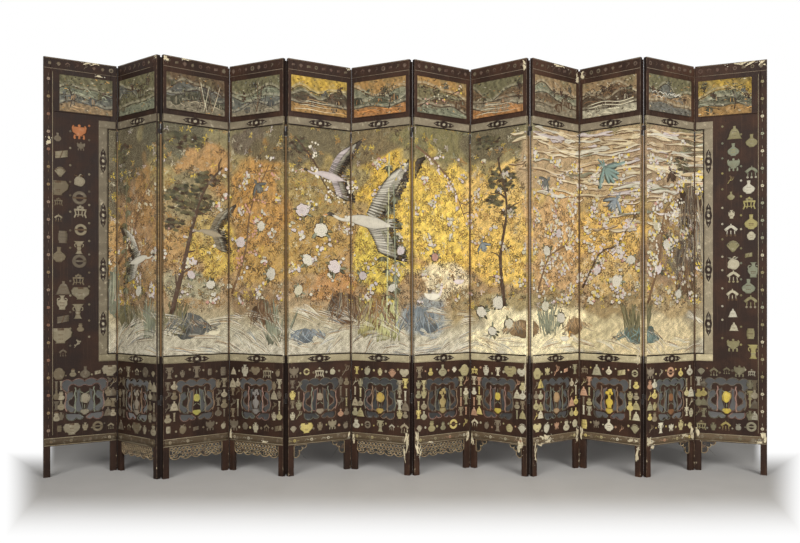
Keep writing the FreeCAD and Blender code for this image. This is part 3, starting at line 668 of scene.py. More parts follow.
def wash(s, z):
    """The painted ground: a rise of pigments, then each wash, whose edge is an ellipse bent by noise; all
    of it in grains and upright streaks, lighter along the foot, and lighter to the right as painted light."""
    bent_z = z + 0.05 * drift(s, z, 0.5, 3)
    tint = np.stack([np.interp(bent_z, GROUND_LEVELS, part) for part in GROUND_TINTS.T], -1)
    along = s / LEAF_WIDTH
    for k, (middle, height, reach, rise, screen_values, strength) in enumerate(WASHES):
        away = np.hypot((along - middle) / reach, (z - height) / rise) + 0.55 * drift(s, z, 0.22, 40 + k)
        share = strength * np.clip((1.10 - away) / 0.22, 0, 1)
        tint += (pigment(*screen_values) - tint) * share[..., None]
    streak = np.clip((z - 1.9) / 0.2, 0.2, 1) * drift(s * 9, z * 0.8, 0.20, 9)
    grain = 0.55 * drift(s, z, 0.07, 5) + 0.5 * drift(s, z, 0.028, 6) + 0.5 * streak
    rightwards, low = np.clip((along - 4.6) / 1.4, 0, 1), np.clip((1.02 - z) / 0.15, 0, 1)
    # Painted light: the ground is lighter towards the right-hand leaves; it is also lighter along the foot.
    light = 1.07 + 0.08 * rightwards + 0.10 * low * (along > 3)
    return tint * (light * np.clip(1 + grain, 0.4, 1.5))[..., None]


class Garden:
    """One layer of the scene on all leaves: a form that crosses an edge between two leaves is cut there,
    as the scene was cut over the closed leaves."""

    def __init__(self):
        self.sheets = {}
        for leaf in LEAVES:
            u0, u1 = scene_reach(leaf)
            self.sheets[leaf] = Inlay(leaf, (u0, u1, SCENE_FOOT, SCENE_TOP))

    def press(self, form, s, z, paint, size=1.0, turn=0.0, base=3, relief=4):
        """Presses the form wherever it reaches into a leaf's part of the scene."""
        s, z = np.broadcast_arrays(np.atleast_1d(s).astype(float), z)
        count = len(s)
        size = np.broadcast_to(np.atleast_2d(size), (count, 2) if np.ndim(size) else (count, 1))
        turn = np.broadcast_to(turn, count)
        paint = np.broadcast_to(np.atleast_2d(paint), (count, 3))
        reach = np.abs(form.places[:, :2]).max() * np.abs(size).max(-1)
        for leaf, sheet in self.sheets.items():
            low, high, foot, top = sheet.bounds
            u = s - leaf * LEAF_WIDTH
            here = (u + reach > low) & (u - reach < high) & (z + reach > foot) & (z - reach < top)
            if here.any():
                sheet.press(form, u[here], z[here], paint[here], size[here], turn[here], base, relief)

    def draw(self, points, widths, paint, base=3, relief=4, steps=5):
        """Draws a stroke whose points count leaves and metres of height."""
        path = np.array(points, float) * (LEAF_WIDTH, 1)
        middle = path.mean(0)
        form = stroke(path - middle, widths, TABLET, steps)
        self.press(form, middle[:1], middle[1], paint, 1.0, 0.0, base, relief)

    def finish(self, name, material, slot):
        """One piece for each leaf that has forms in the layer."""
        for leaf, sheet in self.sheets.items():
            if sheet.places:
                sheet.finish(f"{name}_{leaf + 1:02d}", material, slot)


def scene_reach(leaf):
    """Left and right end of a leaf's part of the scene."""
    if leaf == FIRST:
        return LEAF_WIDTH - END_SCENE, RIGHT
    if leaf == LAST:
        return LEFT, END_SCENE
    return LEFT, RIGHT


LEAFLET = stroke(((0, -0.5), (0, -0.17), (0, 0.20), (0, 0.5)), (0.06, 0.42, 0.38, 0.04), BLADE, 1)
NEEDLE = stroke(((0, 0), (0, 0.5), (0, 1)), (0.14, 0.22, 0.06), BLADE, 1)
FEATHER = stroke(((0, 0), (0.02, 0.5), (0, 1.0)), (0.14, 0.24, 0.12), BLADE, 2)
FLORET = rosette(petals(5, 0.42, 15), ((1.0, 0.0, 0.55), (0.8, 1.0, 1.0)), (0.6, 0.72))
DISC = rosette(np.ones(12), ((1.0, 0.0, 0.5), (0.8, 1.0, 1.0)), (1.0, 1.0))
# A dark spot, pressed under blossoms as their painted shadow.
SHADOW_SPOT = rosette(np.ones(7), ((1.0, 0.6, 1.0),), (1.0, 1.0))
PEONY_RINGS = ((1.0, 0.0, 0.5), (0.92, 0.7, 1.0), (0.70, 0.9, 0.74), (0.62, 1.3, 1.0), (0.40, 1.5, 0.70),
               (0.32, 1.9, 0.96))
PEONY = [rosette(petals(8, 0.12, 36, 0.8) * ragged(36, 0.09, seed), PEONY_RINGS, (1.7, 0.62))
         for seed in range(4)]
HEAP_RINGS = ((1.0, 0.0, 0.5), (0.92, 0.8, 0.9), (0.7, 0.9, 0.82), (0.62, 1.2, 1.0), (0.3, 1.3, 0.92))
HEAP = [rosette(ragged(28, 0.13, seed), HEAP_RINGS, (1.4, 1.0)) for seed in range(5)]


def scattered(pitch, seed, low, high=SCENE_TOP):
    """Places on the strip: a lattice of the pitch with every place moved at random within its cell."""
    draw = luck(seed)
    start, end = 0.88 * LEAF_WIDTH, 11.12 * LEAF_WIDTH
    s, z = np.meshgrid(np.arange(start, end, pitch), np.arange(low, high, pitch))
    s, z = s.ravel(), z.ravel()
    return s + draw.uniform(-0.5, 0.5, s.size) * pitch, z + draw.uniform(-0.5, 0.5, s.size) * pitch, draw


def chosen(draw, count, colours, shares):
    """Colours drawn at random, by their shares."""
    return np.array(colours)[draw.choice(len(colours), count, p=np.array(shares) / sum(shares))]


def leafage(layer):
    """Bushes over the upper scene: tufts of small leaves that share a tone, darker or lighter than the
    ground under them, thick in clumps and open between them; few over the mist and along the top."""
    s, z, draw = scattered(0.024, 11, 1.09)
    along = s / LEAF_WIDTH
    clump = drift(s, z, 0.17, 12) + 0.6 * drift(s, z, 0.06, 13)
    misty = np.clip((along - 7.9) / 0.3, 0, 1) * np.clip((z - 1.70) / 0.15, 0, 1)
    sky = np.clip((2.2 - along) / 0.4, 0.7, 1) * np.clip((z - 1.95) / 0.15, 0, 1)
    keep = draw.uniform(0, 1, s.size) < 0.62 + 1.2 * clump - 0.8 * misty - 0.75 * sky
    s, z = s[keep][:, None], z[keep][:, None]
    count, leaves = len(s), 5
    ground = wash(s[:, 0], z[:, 0])
    on_light = chosen(draw, count, (SOIL, BARK, MOSS, pigment(150, 112, 56), CREAM, OCHRE),
                      (8, 6, 4, 4, 2, 3))
    on_dark = chosen(draw, count, (YELLOW, OCHRE, CREAM, SOIL, SAGE, BLUSH), (7, 5, 3, 5, 2, 2))
    is_light = draw.uniform(0, 1, count) < np.clip((ground.mean(-1) - 0.13) / 0.12, 0.15, 0.95)
    tone = np.where(is_light[:, None], on_light, on_dark)
    paint = (ground * 0.15 + tone * 0.85) * draw.uniform(0.6, 1.1, count)[:, None]
    size = draw.uniform(0.011, 0.025, (count, leaves))
    turn = draw.uniform(0, 2 * math.pi, (count, 1)) + np.arange(leaves) * 1.26
    turn = turn + draw.normal(0, 0.3, (count, leaves))
    paint = np.repeat(paint, leaves, 0) * draw.uniform(0.8, 1.2, (count * leaves, 1))
    s, z = s + 0.62 * size * np.cos(turn), z + 0.62 * size * np.sin(turn)
    layer.press(LEAFLET, s.ravel(), z.ravel(), paint, size.reshape(-1, 1), turn.ravel() - math.pi / 2,
                2, 3.5)


def blossoms(layer):
    """Small five-petalled flowers in sprays, each over a painted shadow: a dark spot set a little lower."""
    s, z, draw = scattered(0.0145, 21, 1.12, 2.2)
    along = s / LEAF_WIDTH
    spray = drift(s, z, 0.15, 22) + 0.35 * drift(s, z, 0.05, 23)
    dark = np.clip((3.0 - along) / 0.5, 0, 1) * (z > 1.6) + (z > 2.08)
    keep = (spray > 0.36 - 0.20 * (along > 8) + 0.3 * dark) & (draw.uniform(0, 1, s.size) < 0.85)
    s, z = s[keep], z[keep]
    paint = chosen(draw, s.size, (WHITE, BLUSH, YELLOW, CREAM, ROSE), (0.22, 0.26, 0.16, 0.30, 0.06))
    size = draw.uniform(0.006, 0.014, s.size)[:, None]
    turn = draw.uniform(0, 6, s.size)
    # Painted shadow: a dark spot a little larger than the flower and two millimetres under it.
    layer.press(SHADOW_SPOT, s, z - 0.002, SOIL, size * 1.05, 0.0, 3, 2)
    layer.press(FLORET, s, z, paint * draw.uniform(0.78, 1.0, s.size)[:, None], size, turn, 5, 3)


# Middle (leaves, height), radius and paint of every peony.
PEONIES = (
    (3.22, 1.52, 0.036, BLUSH), (3.60, 1.62, 0.030, WHITE), (3.78, 1.31, 0.040, WHITE),
    (4.22, 1.72, 0.046, BLUSH), (4.52, 1.60, 0.052, WHITE), (4.30, 1.40, 0.040, WHITE),
    (4.74, 1.36, 0.050, BLUSH), (4.16, 1.20, 0.034, CREAM), (5.20, 1.30, 0.034, BLUSH),
    (5.72, 1.22, 0.038, WHITE), (5.86, 1.46, 0.030, BLUSH), (6.36, 1.42, 0.032, ROSE),
    (7.20, 1.06, 0.042, WHITE), (7.52, 1.12, 0.046, WHITE), (7.70, 0.98, 0.040, WATER),
    (7.40, 0.93, 0.034, WHITE), (8.26, 1.10, 0.038, WATER), (8.60, 1.02, 0.040, WHITE),
    (8.30, 1.46, 0.036, WHITE), (8.55, 1.58, 0.030, BLUSH), (9.30, 1.34, 0.034, BLUSH),
    (9.62, 1.26, 0.040, WHITE), (9.86, 1.40, 0.030, WHITE), (10.20, 1.62, 0.032, CREAM),
    (10.42, 1.50, 0.042, WHITE), (10.24, 1.34, 0.036, BLUSH), (10.66, 1.18, 0.034, WHITE),
    (1.55, 1.20, 0.034, WHITE), (2.42, 1.30, 0.030, BLUSH), (2.72, 1.24, 0.034, WHITE),
)


def peonies(layer, leaves):
    """Large round peonies, white and blush, with lobed leaves about them."""
    draw = luck(31)
    for along, z, radius, paint in PEONIES:
        s = along * LEAF_WIDTH
        turn = draw.uniform(0, 2 * math.pi, 7)
        away = radius * draw.uniform(0.9, 1.35, 7)
        leaves.press(LEAFLET, s + away * np.cos(turn), z + away * np.sin(turn),
                     chosen(draw, 7, (MOSS, OLIVE, SAGE), (1, 1, 1)),
                     radius * draw.uniform(0.8, 1.2, 7)[:, None], turn - math.pi / 2, 3, 5)
        layer.press(DISC, s, z, SOIL, radius * 1.03, 0.0, 3, 2)
        layer.press(PEONY[draw.integers(4)], s, z, paint * draw.uniform(0.8, 1.0),
                    radius * draw.uniform(0.8, 1.15, 2), turn[0], 4, 3.5)


def branch(layer, points, width, paint, twigs, seed, buds=None):
    """A bough that thins towards its tip, with twigs to both sides and buds on them."""
    points = np.array(points, float)
    layer.draw(points, np.linspace(width, width * 0.35, len(points)), paint, 3, 5)
    path = rounded(points, 6)
    draw = luck(seed)
    for k in np.linspace(3, len(path) - 2, twigs).astype(int):
        heading = math.atan2(*(path[k + 1] - path[k])[::-1]) + draw.choice((-1, 1)) * draw.uniform(0.5, 1.1)
        reach = draw.uniform(0.05, 0.13)
        way = np.array((math.cos(heading) / LEAF_WIDTH, math.sin(heading))) * reach
        side = np.array((-math.sin(heading) / LEAF_WIDTH, math.cos(heading))) * reach
        side = side * draw.uniform(-0.25, 0.25)
        layer.draw((path[k], path[k] + way * 0.5 + side, path[k] + way),
                   width * np.array((0.5, 0.35, 0.15)), paint, steps=3)
        if buds is not None:
            t = np.linspace(0.3, 1.05, 6)
            s = (path[k, 0] + way[0] * t) * LEAF_WIDTH + draw.normal(0, 0.008, 6)
            z = path[k, 1] + way[1] * t + draw.normal(0, 0.008, 6)
            layer.press(FLORET, s, z, buds, draw.uniform(0.006, 0.011, 6)[:, None],
                        draw.uniform(0, 6, 6), 6, 4)


def rock(layer, along, z, width, height, paint, seed):
    """A garden rock: three ragged masses, and over them streaks that rise from a broad foot, crowd
    towards a broken crest, and are light and dark by turns."""
    draw = luck(seed)
    s = along * LEAF_WIDTH
    for k in range(3):
        place = s + draw.uniform(-0.22, 0.22) * width, z - height * draw.uniform(0.0, 0.2)
        size = width * draw.uniform(0.26, 0.38), height * draw.uniform(0.26, 0.44)
        layer.press(HEAP[(seed + k) % 5], *place, paint * (0.40 + 0.16 * k), size, draw.uniform(-0.5, 0.5),
                    2, 2)
    for x in draw.uniform(-1, 1, int(26 + 130 * width)):
        crest = height * (0.30 - 0.30 * abs(x) + 0.24 * drift(x, seed, 0.9, seed))
        foot = -height * draw.uniform(0.28, 0.52)
        lean = draw.normal(0, 0.10) * width
        tones = (paint, paint * 0.5, SLATE * 0.8, GREIGE, paint * 1.2, BARK)
        tone = tones[draw.choice(6, p=(0.25, 0.25, 0.1, 0.16, 0.14, 0.1))]
        start = draw.uniform(0.0, 0.6)
        heights = foot + (crest - foot) * np.array((start, (start + 1) / 2, 1.0))
        rise = s + np.array((0.60, 0.50, 0.36)) * x * width + (0, lean, lean)
        path = np.column_stack((rise, z + heights))
        layer.draw(path / (LEAF_WIDTH, 1), draw.uniform(0.003, 0.009) * np.array((0.4, 1, 0.3)),
                   np.minimum(tone, 0.8), 4, 4, 2)


def pine(layer, along, z, width, height, seed):
    """A cloud of pine: fans of needles, each fan lying over the one before."""
    draw = luck(seed)
    for _ in range(int(width * height / 0.00045)):
        r, a = math.sqrt(draw.uniform(0, 1)), draw.uniform(0, 2 * math.pi)
        s0, z0 = along * LEAF_WIDTH + r * math.cos(a) * width / 2, z + r * math.sin(a) * height / 2
        turn = np.linspace(-1.25, 1.25, 9) + draw.normal(0, 0.15)
        tone = (MOSS, SOIL, OLIVE)[draw.integers(3)] * draw.uniform(0.55, 1.1)
        layer.press(NEEDLE, np.full(9, s0), np.full(9, z0), tone, draw.uniform(0.018, 0.028), turn, 4, 4)


def bamboo(layer, leaves, along, foot, top, lean, seed, paint):
    """A culm in joints, with bunches of drooping leaves."""
    draw = luck(seed)
    joints = np.arange(foot, top, 0.085)
    for low in joints:
        mid = along + lean * (low - foot)
        joint = [(mid + lean * rise, low + rise) for rise in (0.0, 0.04, 0.08)]
        layer.draw(joint, (0.012, 0.009, 0.012), paint * draw.uniform(0.85, 1.1), 3, 6, 1)
    n = 7
    for low in joints[2:]:
        s0 = (along + lean * (low - foot)) * LEAF_WIDTH + draw.uniform(-0.04, 0.04)
        turn = math.pi + np.linspace(-1.1, 1.1, n) + draw.normal(0, 0.15)
        reach = draw.uniform(0.035, 0.06, n)
        leaves.press(LEAFLET, s0 - np.sin(turn) * reach / 2, low + np.cos(turn) * reach / 2,
                     chosen(draw, n, (MOSS, OLIVE, SAGE), (2, 2, 1)), np.column_stack((reach * 0.6, reach)),
                     turn, 5, 3)


def wing(layer, root, tip, count, length, turn, paints, seed):
    """A spread wing: rows of feathers along a bent arm, long at the edge and short over their roots, each
    row lying on the one before."""
    draw = luck(seed)
    t = np.linspace(0, 1, count)
    s = (root[0] + (tip[0] - root[0]) * t) * LEAF_WIDTH
    z = root[1] + (tip[1] - root[1]) * t + 0.03 * np.sin(math.pi * t)
    for row, share in enumerate((1.0, 0.66, 0.40)):
        reach = length * share * (0.7 + 0.4 * t) * draw.uniform(0.95, 1.05, count)
        layer.press(FEATHER, s, z, paints[row] * draw.choice((0.72, 1.0, 1.12), (count, 1)),
                    np.column_stack((reach * (0.75 + 0.25 * row), reach)), np.linspace(*turn, count),
                    3 + 2.4 * row, 2)


def bird(layer, along, z, size, facing):
    """Two tools for a bird that faces one way: where a share of its size lies, and a stroke in shares."""
    def at(x, y):
        return along + facing * x * size / LEAF_WIDTH, z + y * size
    def limb(points, widths, paint, base, relief):
        layer.draw([at(*point) for point in points], size * np.array(widths), paint, base, relief)
    return at, limb


def goose(layer, along, z, size, facing, body, seed):
    """A wild goose in flight: body, stretched neck, small head, two raised wings and a short tail."""
    dark, grey = pigment(64, 56, 48), pigment(150, 144, 126)
    at, limb = bird(layer, along, z, size, facing)
    def spread(root, tip, count, length, turn, under, number):
        wing(layer, at(*root), at(*tip), count, size * length, facing * np.array(turn), (dark, grey, under),
             number)
    spread((0.10, 0.08), (-0.55, 0.95), 24, 0.70, (2.1, 1.1), body * 0.9, seed)
    limb(((-0.55, -0.12), (-0.15, -0.04), (0.25, 0.05), (0.5, 0.10)), (0.05, 0.26, 0.22, 0.08), body, 6, 5)
    limb(((0.36, 0.08), (0.62, 0.05), (0.86, 0.14)), (0.12, 0.07, 0.06), body, 7, 4)
    limb(((0.82, 0.13), (0.92, 0.16), (0.99, 0.15)), (0.07, 0.09, 0.05), dark, 8, 3)
    limb(((0.97, 0.15), (1.08, 0.12)), (0.045, 0.01), RUST, 8, 3)
    spread((0.20, 0.02), (-0.25, -0.62), 20, 0.70, (1.0, 1.9), body * 0.9, seed + 1)
    spread((-0.42, -0.06), (-0.5, -0.12), 7, 0.32, (1.35, 1.75), body, seed + 2)


def duck(layer, along, z, size, facing, body, head, seed):
    """A duck on the water: round body, folded wing, short neck and bill."""
    at, limb = bird(layer, along, z, size, facing)
    limb(((-0.9, 0.25), (-0.5, 0.02), (0.1, 0.0), (0.6, 0.12)), (0.06, 0.46, 0.56, 0.2), body, 5, 5)
    wing(layer, at(-0.1, 0.20), at(0.3, 0.10), 6, size * 0.75, (facing * 1.75, facing * 1.4),
         (SLATE, BARK, body * 0.8), seed)
    limb(((0.5, 0.1), (0.68, 0.42), (0.66, 0.66)), (0.3, 0.17, 0.16), head, 6, 5)
    limb(((0.6, 0.68), (0.74, 0.72), (0.84, 0.68)), (0.18, 0.24, 0.14), head, 7, 4)
    limb(((0.82, 0.68), (1.06, 0.62)), (0.12, 0.03), OCHRE, 8, 3)


def swallow(layer, along, z, size, turn, paint):
    """A swallow: two long wings and a forked tail about a short body."""
    count = np.array((2.2, -2.2, 0.5, -0.5, 2.75, -2.75, 3.0, -3.0, 0.0, math.pi))
    reach = np.array((1, 1, 0.35, 0.35, 0.8, 0.8, 0.9, 0.9, 0.5, 0.5)) * size
    s, z = np.full(10, along * LEAF_WIDTH), np.full(10, z)
    layer.press(FEATHER, s, z, paint, np.column_stack((reach * 1.3, reach)), count + turn, 6, 4)


def clouds(layer):
    """Banks of mist over the right-hand leaves: long wavering bands, broad and narrow by turns, each over
    its shadow, with brown and cream lines that follow its wave and puffs at its ends."""
    draw = luck(51)
    cream = (pigment(214, 196, 158), GESSO * 0.86, BLUSH * 0.86, pigment(198, 174, 136), SAGE)
    for level in np.arange(1.58, 2.265, 0.0215):
        along = 7.7 + draw.uniform(0, 0.4)
        while along < 11.1:
            reach = draw.uniform(0.22, 0.85)
            edge = 1.62 + 0.24 * abs(along - 9.6) + 0.10 * draw.normal()
            if level > edge and draw.uniform() < 0.86:
                t = np.linspace(0, 1, 7)
                lift = 0.009 * np.sin(7 * reach * t + draw.uniform(0, 6)) + 0.003 * draw.normal(0, 1, 7)
                path = np.column_stack((along + reach * t, level + draw.normal(0, 0.005) + lift))
                broad = draw.choice((0.012, 0.019, 0.028), p=(0.3, 0.4, 0.3)) * draw.uniform(0.85, 1.15)
                width = broad * np.array((0.2, 0.75, 1, 0.8, 1, 0.7, 0.15)) * draw.uniform(0.75, 1.1, 7)
                tone = chosen(draw, 1, cream, (5, 2, 1.5, 3, 1))[0] * draw.uniform(0.8, 1.0)
                layer.draw(path - (0, 0.004), width + 0.005, pigment(104, 80, 58), 2, 3, 2)
                layer.draw(path, width, tone, 4, 3, 2)
                for share in draw.uniform(-0.4, 0.4, 2 if broad < 0.02 else 4):
                    first = draw.integers(0, 4)
                    stretch = slice(first, first + 4)
                    beside = path[stretch] + np.column_stack((np.zeros(4), width[stretch] * share))
                    line = BARK if draw.uniform() < 0.6 else WHITE
                    layer.draw(beside, (0.001, 0.0028, 0.0028, 0.001), line, 6, 3, 2)
                end = draw.choice((1, 5))
                layer.press(HEAP[draw.integers(5)], path[end, 0] * LEAF_WIDTH, path[end, 1] + 0.004,
                            tone * 0.95, (broad * 1.1, broad * 0.6), 0.0, 4.5, 2.5)
            along += reach + draw.uniform(-0.04, 0.07)


def water(layer):
    """Swells along the foot of the scene: nests of flat arcs that all lean with one current, pale, with
    blue and dark lines between."""
    draw = luck(61)
    for _ in range(230):
        along, level = draw.uniform(0.9, 11.1), SCENE_FOOT + 0.27 * draw.uniform(0, 1) ** 1.3
        if 7.0 < along < 10.9 and level > 0.90:
            continue
        current = drift(along * LEAF_WIDTH, level, 0.75, 62)
        reach, lift, lean = draw.uniform(0.07, 0.26), 0.035 * abs(current), 0.11 * current
        t = np.linspace(-1, 1, 5)
        cool = 2.5 if along < 7 else 0.5
        for k in range(draw.integers(3, 8)):
            height = level + 0.006 * k + lift * (1 - t ** 2) + lean * t
            path = np.column_stack((along + reach * t * (1 - 0.09 * k), height))
            tone = chosen(draw, 1, (GESSO, WHITE, WATER, BLUE, SLATE, BARK, TAN),
                          (3, 3, 4, cool, cool, 2.5, 2.5))[0]
            layer.draw(path, draw.uniform(0.0016, 0.0040) * np.array((0.3, 1, 1, 1, 0.3)), tone, 3, 4, 1)


# Foot (leaves, height), height and paint of every sheaf.
SHEAVES = (
    (3.82, 0.86, 0.26, SAGE), (5.25, 0.90, 0.24, pigment(176, 166, 110)),
    (5.62, 0.88, 0.26, pigment(190, 186, 130)), (2.2, 0.92, 0.20, OLIVE), (8.35, 0.92, 0.20, SAGE),
    (9.9, 0.90, 0.22, OLIVE), (1.75, 0.90, 0.24, SAGE),
)


def grasses(layer):
    """Reeds and iris leaves that rise in sheaves from the bank."""
    draw = luck(71)
    for along, z, height, tone in SHEAVES:
        n = 26
        turn = draw.normal(0, 0.30, n)
        s = along * LEAF_WIDTH + draw.normal(0, 0.035, n)
        reach = height * draw.uniform(0.6, 1.1, n)
        layer.press(FEATHER, s, z + draw.normal(0, 0.01, n), tone * draw.uniform(0.7, 1.2, n)[:, None],
                    np.column_stack((reach * 0.30, reach)), turn, 4, 3)


# Antiques and small ornament on the dark fields.

# Outlines of vessels: height and half width, both as shares of the height.
VESSELS = {
    "vase": ((0, 0.20), (0.06, 0.22), (0.12, 0.15), (0.40, 0.34), (0.62, 0.30), (0.74, 0.10), (0.92, 0.10),
             (1.0, 0.20)),
    "gourd": ((0, 0.14), (0.10, 0.30), (0.30, 0.40), (0.50, 0.28), (0.58, 0.12), (0.72, 0.24), (0.86, 0.16),
              (1.0, 0.08)),
    "beaker": ((0, 0.26), (0.12, 0.16), (0.40, 0.12), (0.48, 0.18), (0.56, 0.12), (0.85, 0.22),
               (1.0, 0.36)),
    "jar": ((0, 0.24), (0.30, 0.42), (0.66, 0.46), (0.80, 0.26), (0.84, 0.30), (0.92, 0.26), (1.0, 0.06)),
    "bowl": ((0, 0.30), (0.10, 0.24), (0.16, 0.30), (0.42, 0.62), (0.70, 0.66), (0.76, 0.70), (0.80, 0.62),
             (1.0, 0.50)),
    "bell": ((0, 0.52), (0.08, 0.44), (0.55, 0.30), (0.76, 0.20), (0.82, 0.08), (1.0, 0.10)),
    "flask": ((0, 0.16), (0.05, 0.12), (0.16, 0.34), (0.40, 0.42), (0.60, 0.26), (0.68, 0.09), (1.0, 0.12)),
    "stick": ((0, 0.13), (0.10, 0.08), (0.45, 0.09), (0.50, 0.14), (0.55, 0.09), (0.88, 0.10), (1.0, 0.16)),
}
VESSELS = {kind: turned_profile(profile) for kind, profile in VESSELS.items()}
KINDS = ("vase", "gourd", "beaker", "jar", "bowl", "bell", "flask", "censer", "stand", "ring", "fan",
         "scroll", "branch", "melon", "chime", "box")


def antique(sheet, kind, u, z, size, paint, detail, seed):
    """One scholar's antique on its centre: a vessel, or a small thing built from strokes and discs. The
    detail colour draws its bands, knobs and patterns."""
    half = size / 2
    draw = luck(seed, 7)
    def dots(x, y, radius, tone, form=DISC, base=6):
        x = np.atleast_1d(x).astype(float)
        y = np.broadcast_to(y, x.shape)
        sheet.press(form, u + x * size, z + y * size, tone, radius * size, 0.0, base, 4)
    def line(points, width, tone=paint, base=2):
        path = [(u + x * size, z + y * size) for x, y in points]
        sheet.draw(path, width * size * 1.3, tone, base, 5, 3)
    if kind in VESSELS:
        sheet.press(VESSELS[kind], u, z - half, paint, (size * 1.12, size), 0.0, 1, 6)
        level = draw.choice((-0.12, -0.02, 0.06))
        line(((-0.16, level), (0.16, level)), 0.035, detail, 4)
        dots((-0.1, 0, 0.1), -0.22, 0.035, detail, DISC, 5)
        if kind in ("vase", "beaker", "jar"):
            for side in (-1, 1):
                line(((side * 0.16, 0.30), (side * 0.30, 0.26), (side * 0.30, 0.10), (side * 0.22, 0.04)),
                     0.055)
        if kind in ("bowl", "gourd"):
            dots((-0.12, 0.0, 0.13), 0.42, 0.10, detail, FLORET)
    elif kind == "censer":
        sheet.press(VESSELS["bowl"], u, z - size * 0.30, paint, (size * 0.72, size * 0.62), 0.0, 2, 8)
        for side in (-1, 0, 1):
            line(((side * 0.26, -0.22), (side * 0.30, -0.38), (side * 0.26, -0.5)), 0.10)
        for side in (-1, 1):
            line(((side * 0.36, 0.12), (side * 0.42, 0.26), (side * 0.34, 0.40)), 0.075)
        line(((-0.2, 0.0), (0.2, 0.0)), 0.05, detail, 4)
        dots(0.0, 0.40, 0.10, paint)
    elif kind == "stand":
        line(((-0.44, 0.10), (0.0, 0.13), (0.44, 0.10)), 0.12)
        for side in (-1, 1):
            line(((side * 0.38, 0.06), (side * 0.32, -0.2), (side * 0.42, -0.48)), 0.085)
            line(((side * 0.14, 0.06), (side * 0.12, -0.2), (side * 0.18, -0.42)), 0.06)
        line(((-0.34, -0.26), (0.34, -0.26)), 0.05)
        dots((-0.16, 0.16), 0.28, 0.12, detail, FLORET)
        dots(0.0, 0.36, 0.12, paint, FLORET)
    elif kind == "ring":
        turn = np.linspace(0, 2 * math.pi, 13)
        line(np.column_stack((np.cos(turn), np.sin(turn))) * 0.34, 0.17)
        line(((-0.42, 0.0), (0.42, 0.0)), 0.10, detail, 4)
    elif kind == "fan":
        for turn in np.linspace(-0.9, 0.9, 7):
            tip = math.sin(turn) * 0.5, -0.42 + math.cos(turn) * 0.8
            line(((0, -0.42), tip), 0.10 + 0.05 * (abs(turn) < 0.5))
        line(((-0.42, 0.10), (0.0, 0.30), (0.42, 0.10)), 0.05, detail, 4)
    elif kind == "scroll":
        for y in (-0.16, 0.0, 0.16):
            line(((-0.40, y - 0.08), (0.40, y + 0.08)), 0.13)
        line(((-0.1, -0.28), (0.0, 0.0), (0.1, 0.28)), 0.06, detail, 4)
    elif kind == "branch":
        line(((-0.30, -0.45), (-0.05, -0.1), (0.10, 0.2), (0.02, 0.46)), 0.06)
        line(((-0.05, -0.1), (0.26, 0.02), (0.34, 0.22)), 0.05)
        dots((-0.2, 0.16, 0.36, 0.0, 0.18), (-0.14, 0.1, 0.28, 0.44, 0.32), 0.12, detail, FLORET)
    elif kind == "melon":
        sheet.press(HEAP[seed % 5], u, z - size * 0.06, paint, (size * 0.36, size * 0.40), 0.0, 2, 6)
        line(((0.0, 0.28), (0.06, 0.42), (0.18, 0.46)), 0.06)
        sheet.press(LEAFLET, [u - 0.16 * size, u + 0.2 * size], [z + 0.34 * size] * 2, detail, size * 0.34,
                    (1.2, -1.0), 4, 5)
    elif kind == "chime":
        line(((-0.40, 0.02), (0.0, 0.30), (0.40, 0.02)), 0.16)
        line(((0.0, 0.32), (0.0, 0.48)), 0.06)
        for x in (-0.24, 0.0, 0.24):
            line(((x, 0.0), (x * 1.1, -0.26)), 0.045)
            dots(x * 1.15, -0.34, 0.085, detail)
    else:
        for y, width in ((-0.30, 0.16), (-0.10, 0.20), (0.12, 0.20), (0.32, 0.14)):
            line(((-0.30 + abs(y) * 0.2, y), (0.30 - abs(y) * 0.2, y)), width)
        line(((-0.2, 0.0), (0.2, 0.0)), 0.04, detail, 4)


def tints(leaf, draw):
    """A colour for an antique and one for its details: dull on the left-hand leaves, and yellow, cream,
    salmon or white among them towards the right."""
    dull = (pigment(150, 138, 112), pigment(128, 114, 90), pigment(166, 154, 128), pigment(116, 104, 86))
    bright = (pigment(188, 170, 104), pigment(172, 160, 118), pigment(184, 174, 146),
              pigment(172, 134, 106), pigment(186, 178, 154), pigment(162, 150, 108),
              pigment(146, 138, 108), pigment(168, 160, 132))
    fresh = np.clip((leaf - 2) / 5, 0, 0.80)
    pool = bright if draw.uniform() < fresh else dull
    paint = pool[draw.integers(len(pool))]
    lit = 0.75 if leaf < 2 else 0.87 + 0.078 * min(leaf - 2, 6) if leaf < LAST else 0.58
    shade = draw.uniform(0.70, 1.0)
    return paint * shade * lit, pigment(84, 66, 48) if draw.uniform() < 0.6 else paint * 0.55


def plain(tone):
    """One paint for a whole laid field."""
    return lambda u, z: np.tile(tone, (len(u), 1))


def inwards(leaf, away):
    """Across from the inner edge of an end leaf, the one that meets its neighbour."""
    return LEAF_WIDTH - away if leaf == FIRST else away


def window_middle(leaf):
    """Across to the middle of the pierced window, which an end leaf has shifted inwards."""
    shift = (END_BAND - RIM) / 2
    return LEAF_WIDTH / 2 + (shift if leaf == FIRST else -shift if leaf == LAST else 0)


def field_reach(leaf):
    """Across from one side of the dark field to the other, within the outer band of an end leaf."""
    left = END_BAND + 0.004 if leaf == FIRST else LEFT
    right = LEAF_WIDTH - END_BAND - 0.004 if leaf == LAST else RIGHT
    return left, right


# Middles of the rows of antiques over and under the window, and of those beside it.
ROWS = (0.668, 0.306)
BESIDE = (0.390, 0.455, 0.522, 0.590)
# Flower band: its two light lines and its middle. Top rail: the middle of its ornament.
BAND_LINES, BAND_MIDDLE, TOP_MIDDLE = (0.2035, 0.2485), 0.226, 2.664


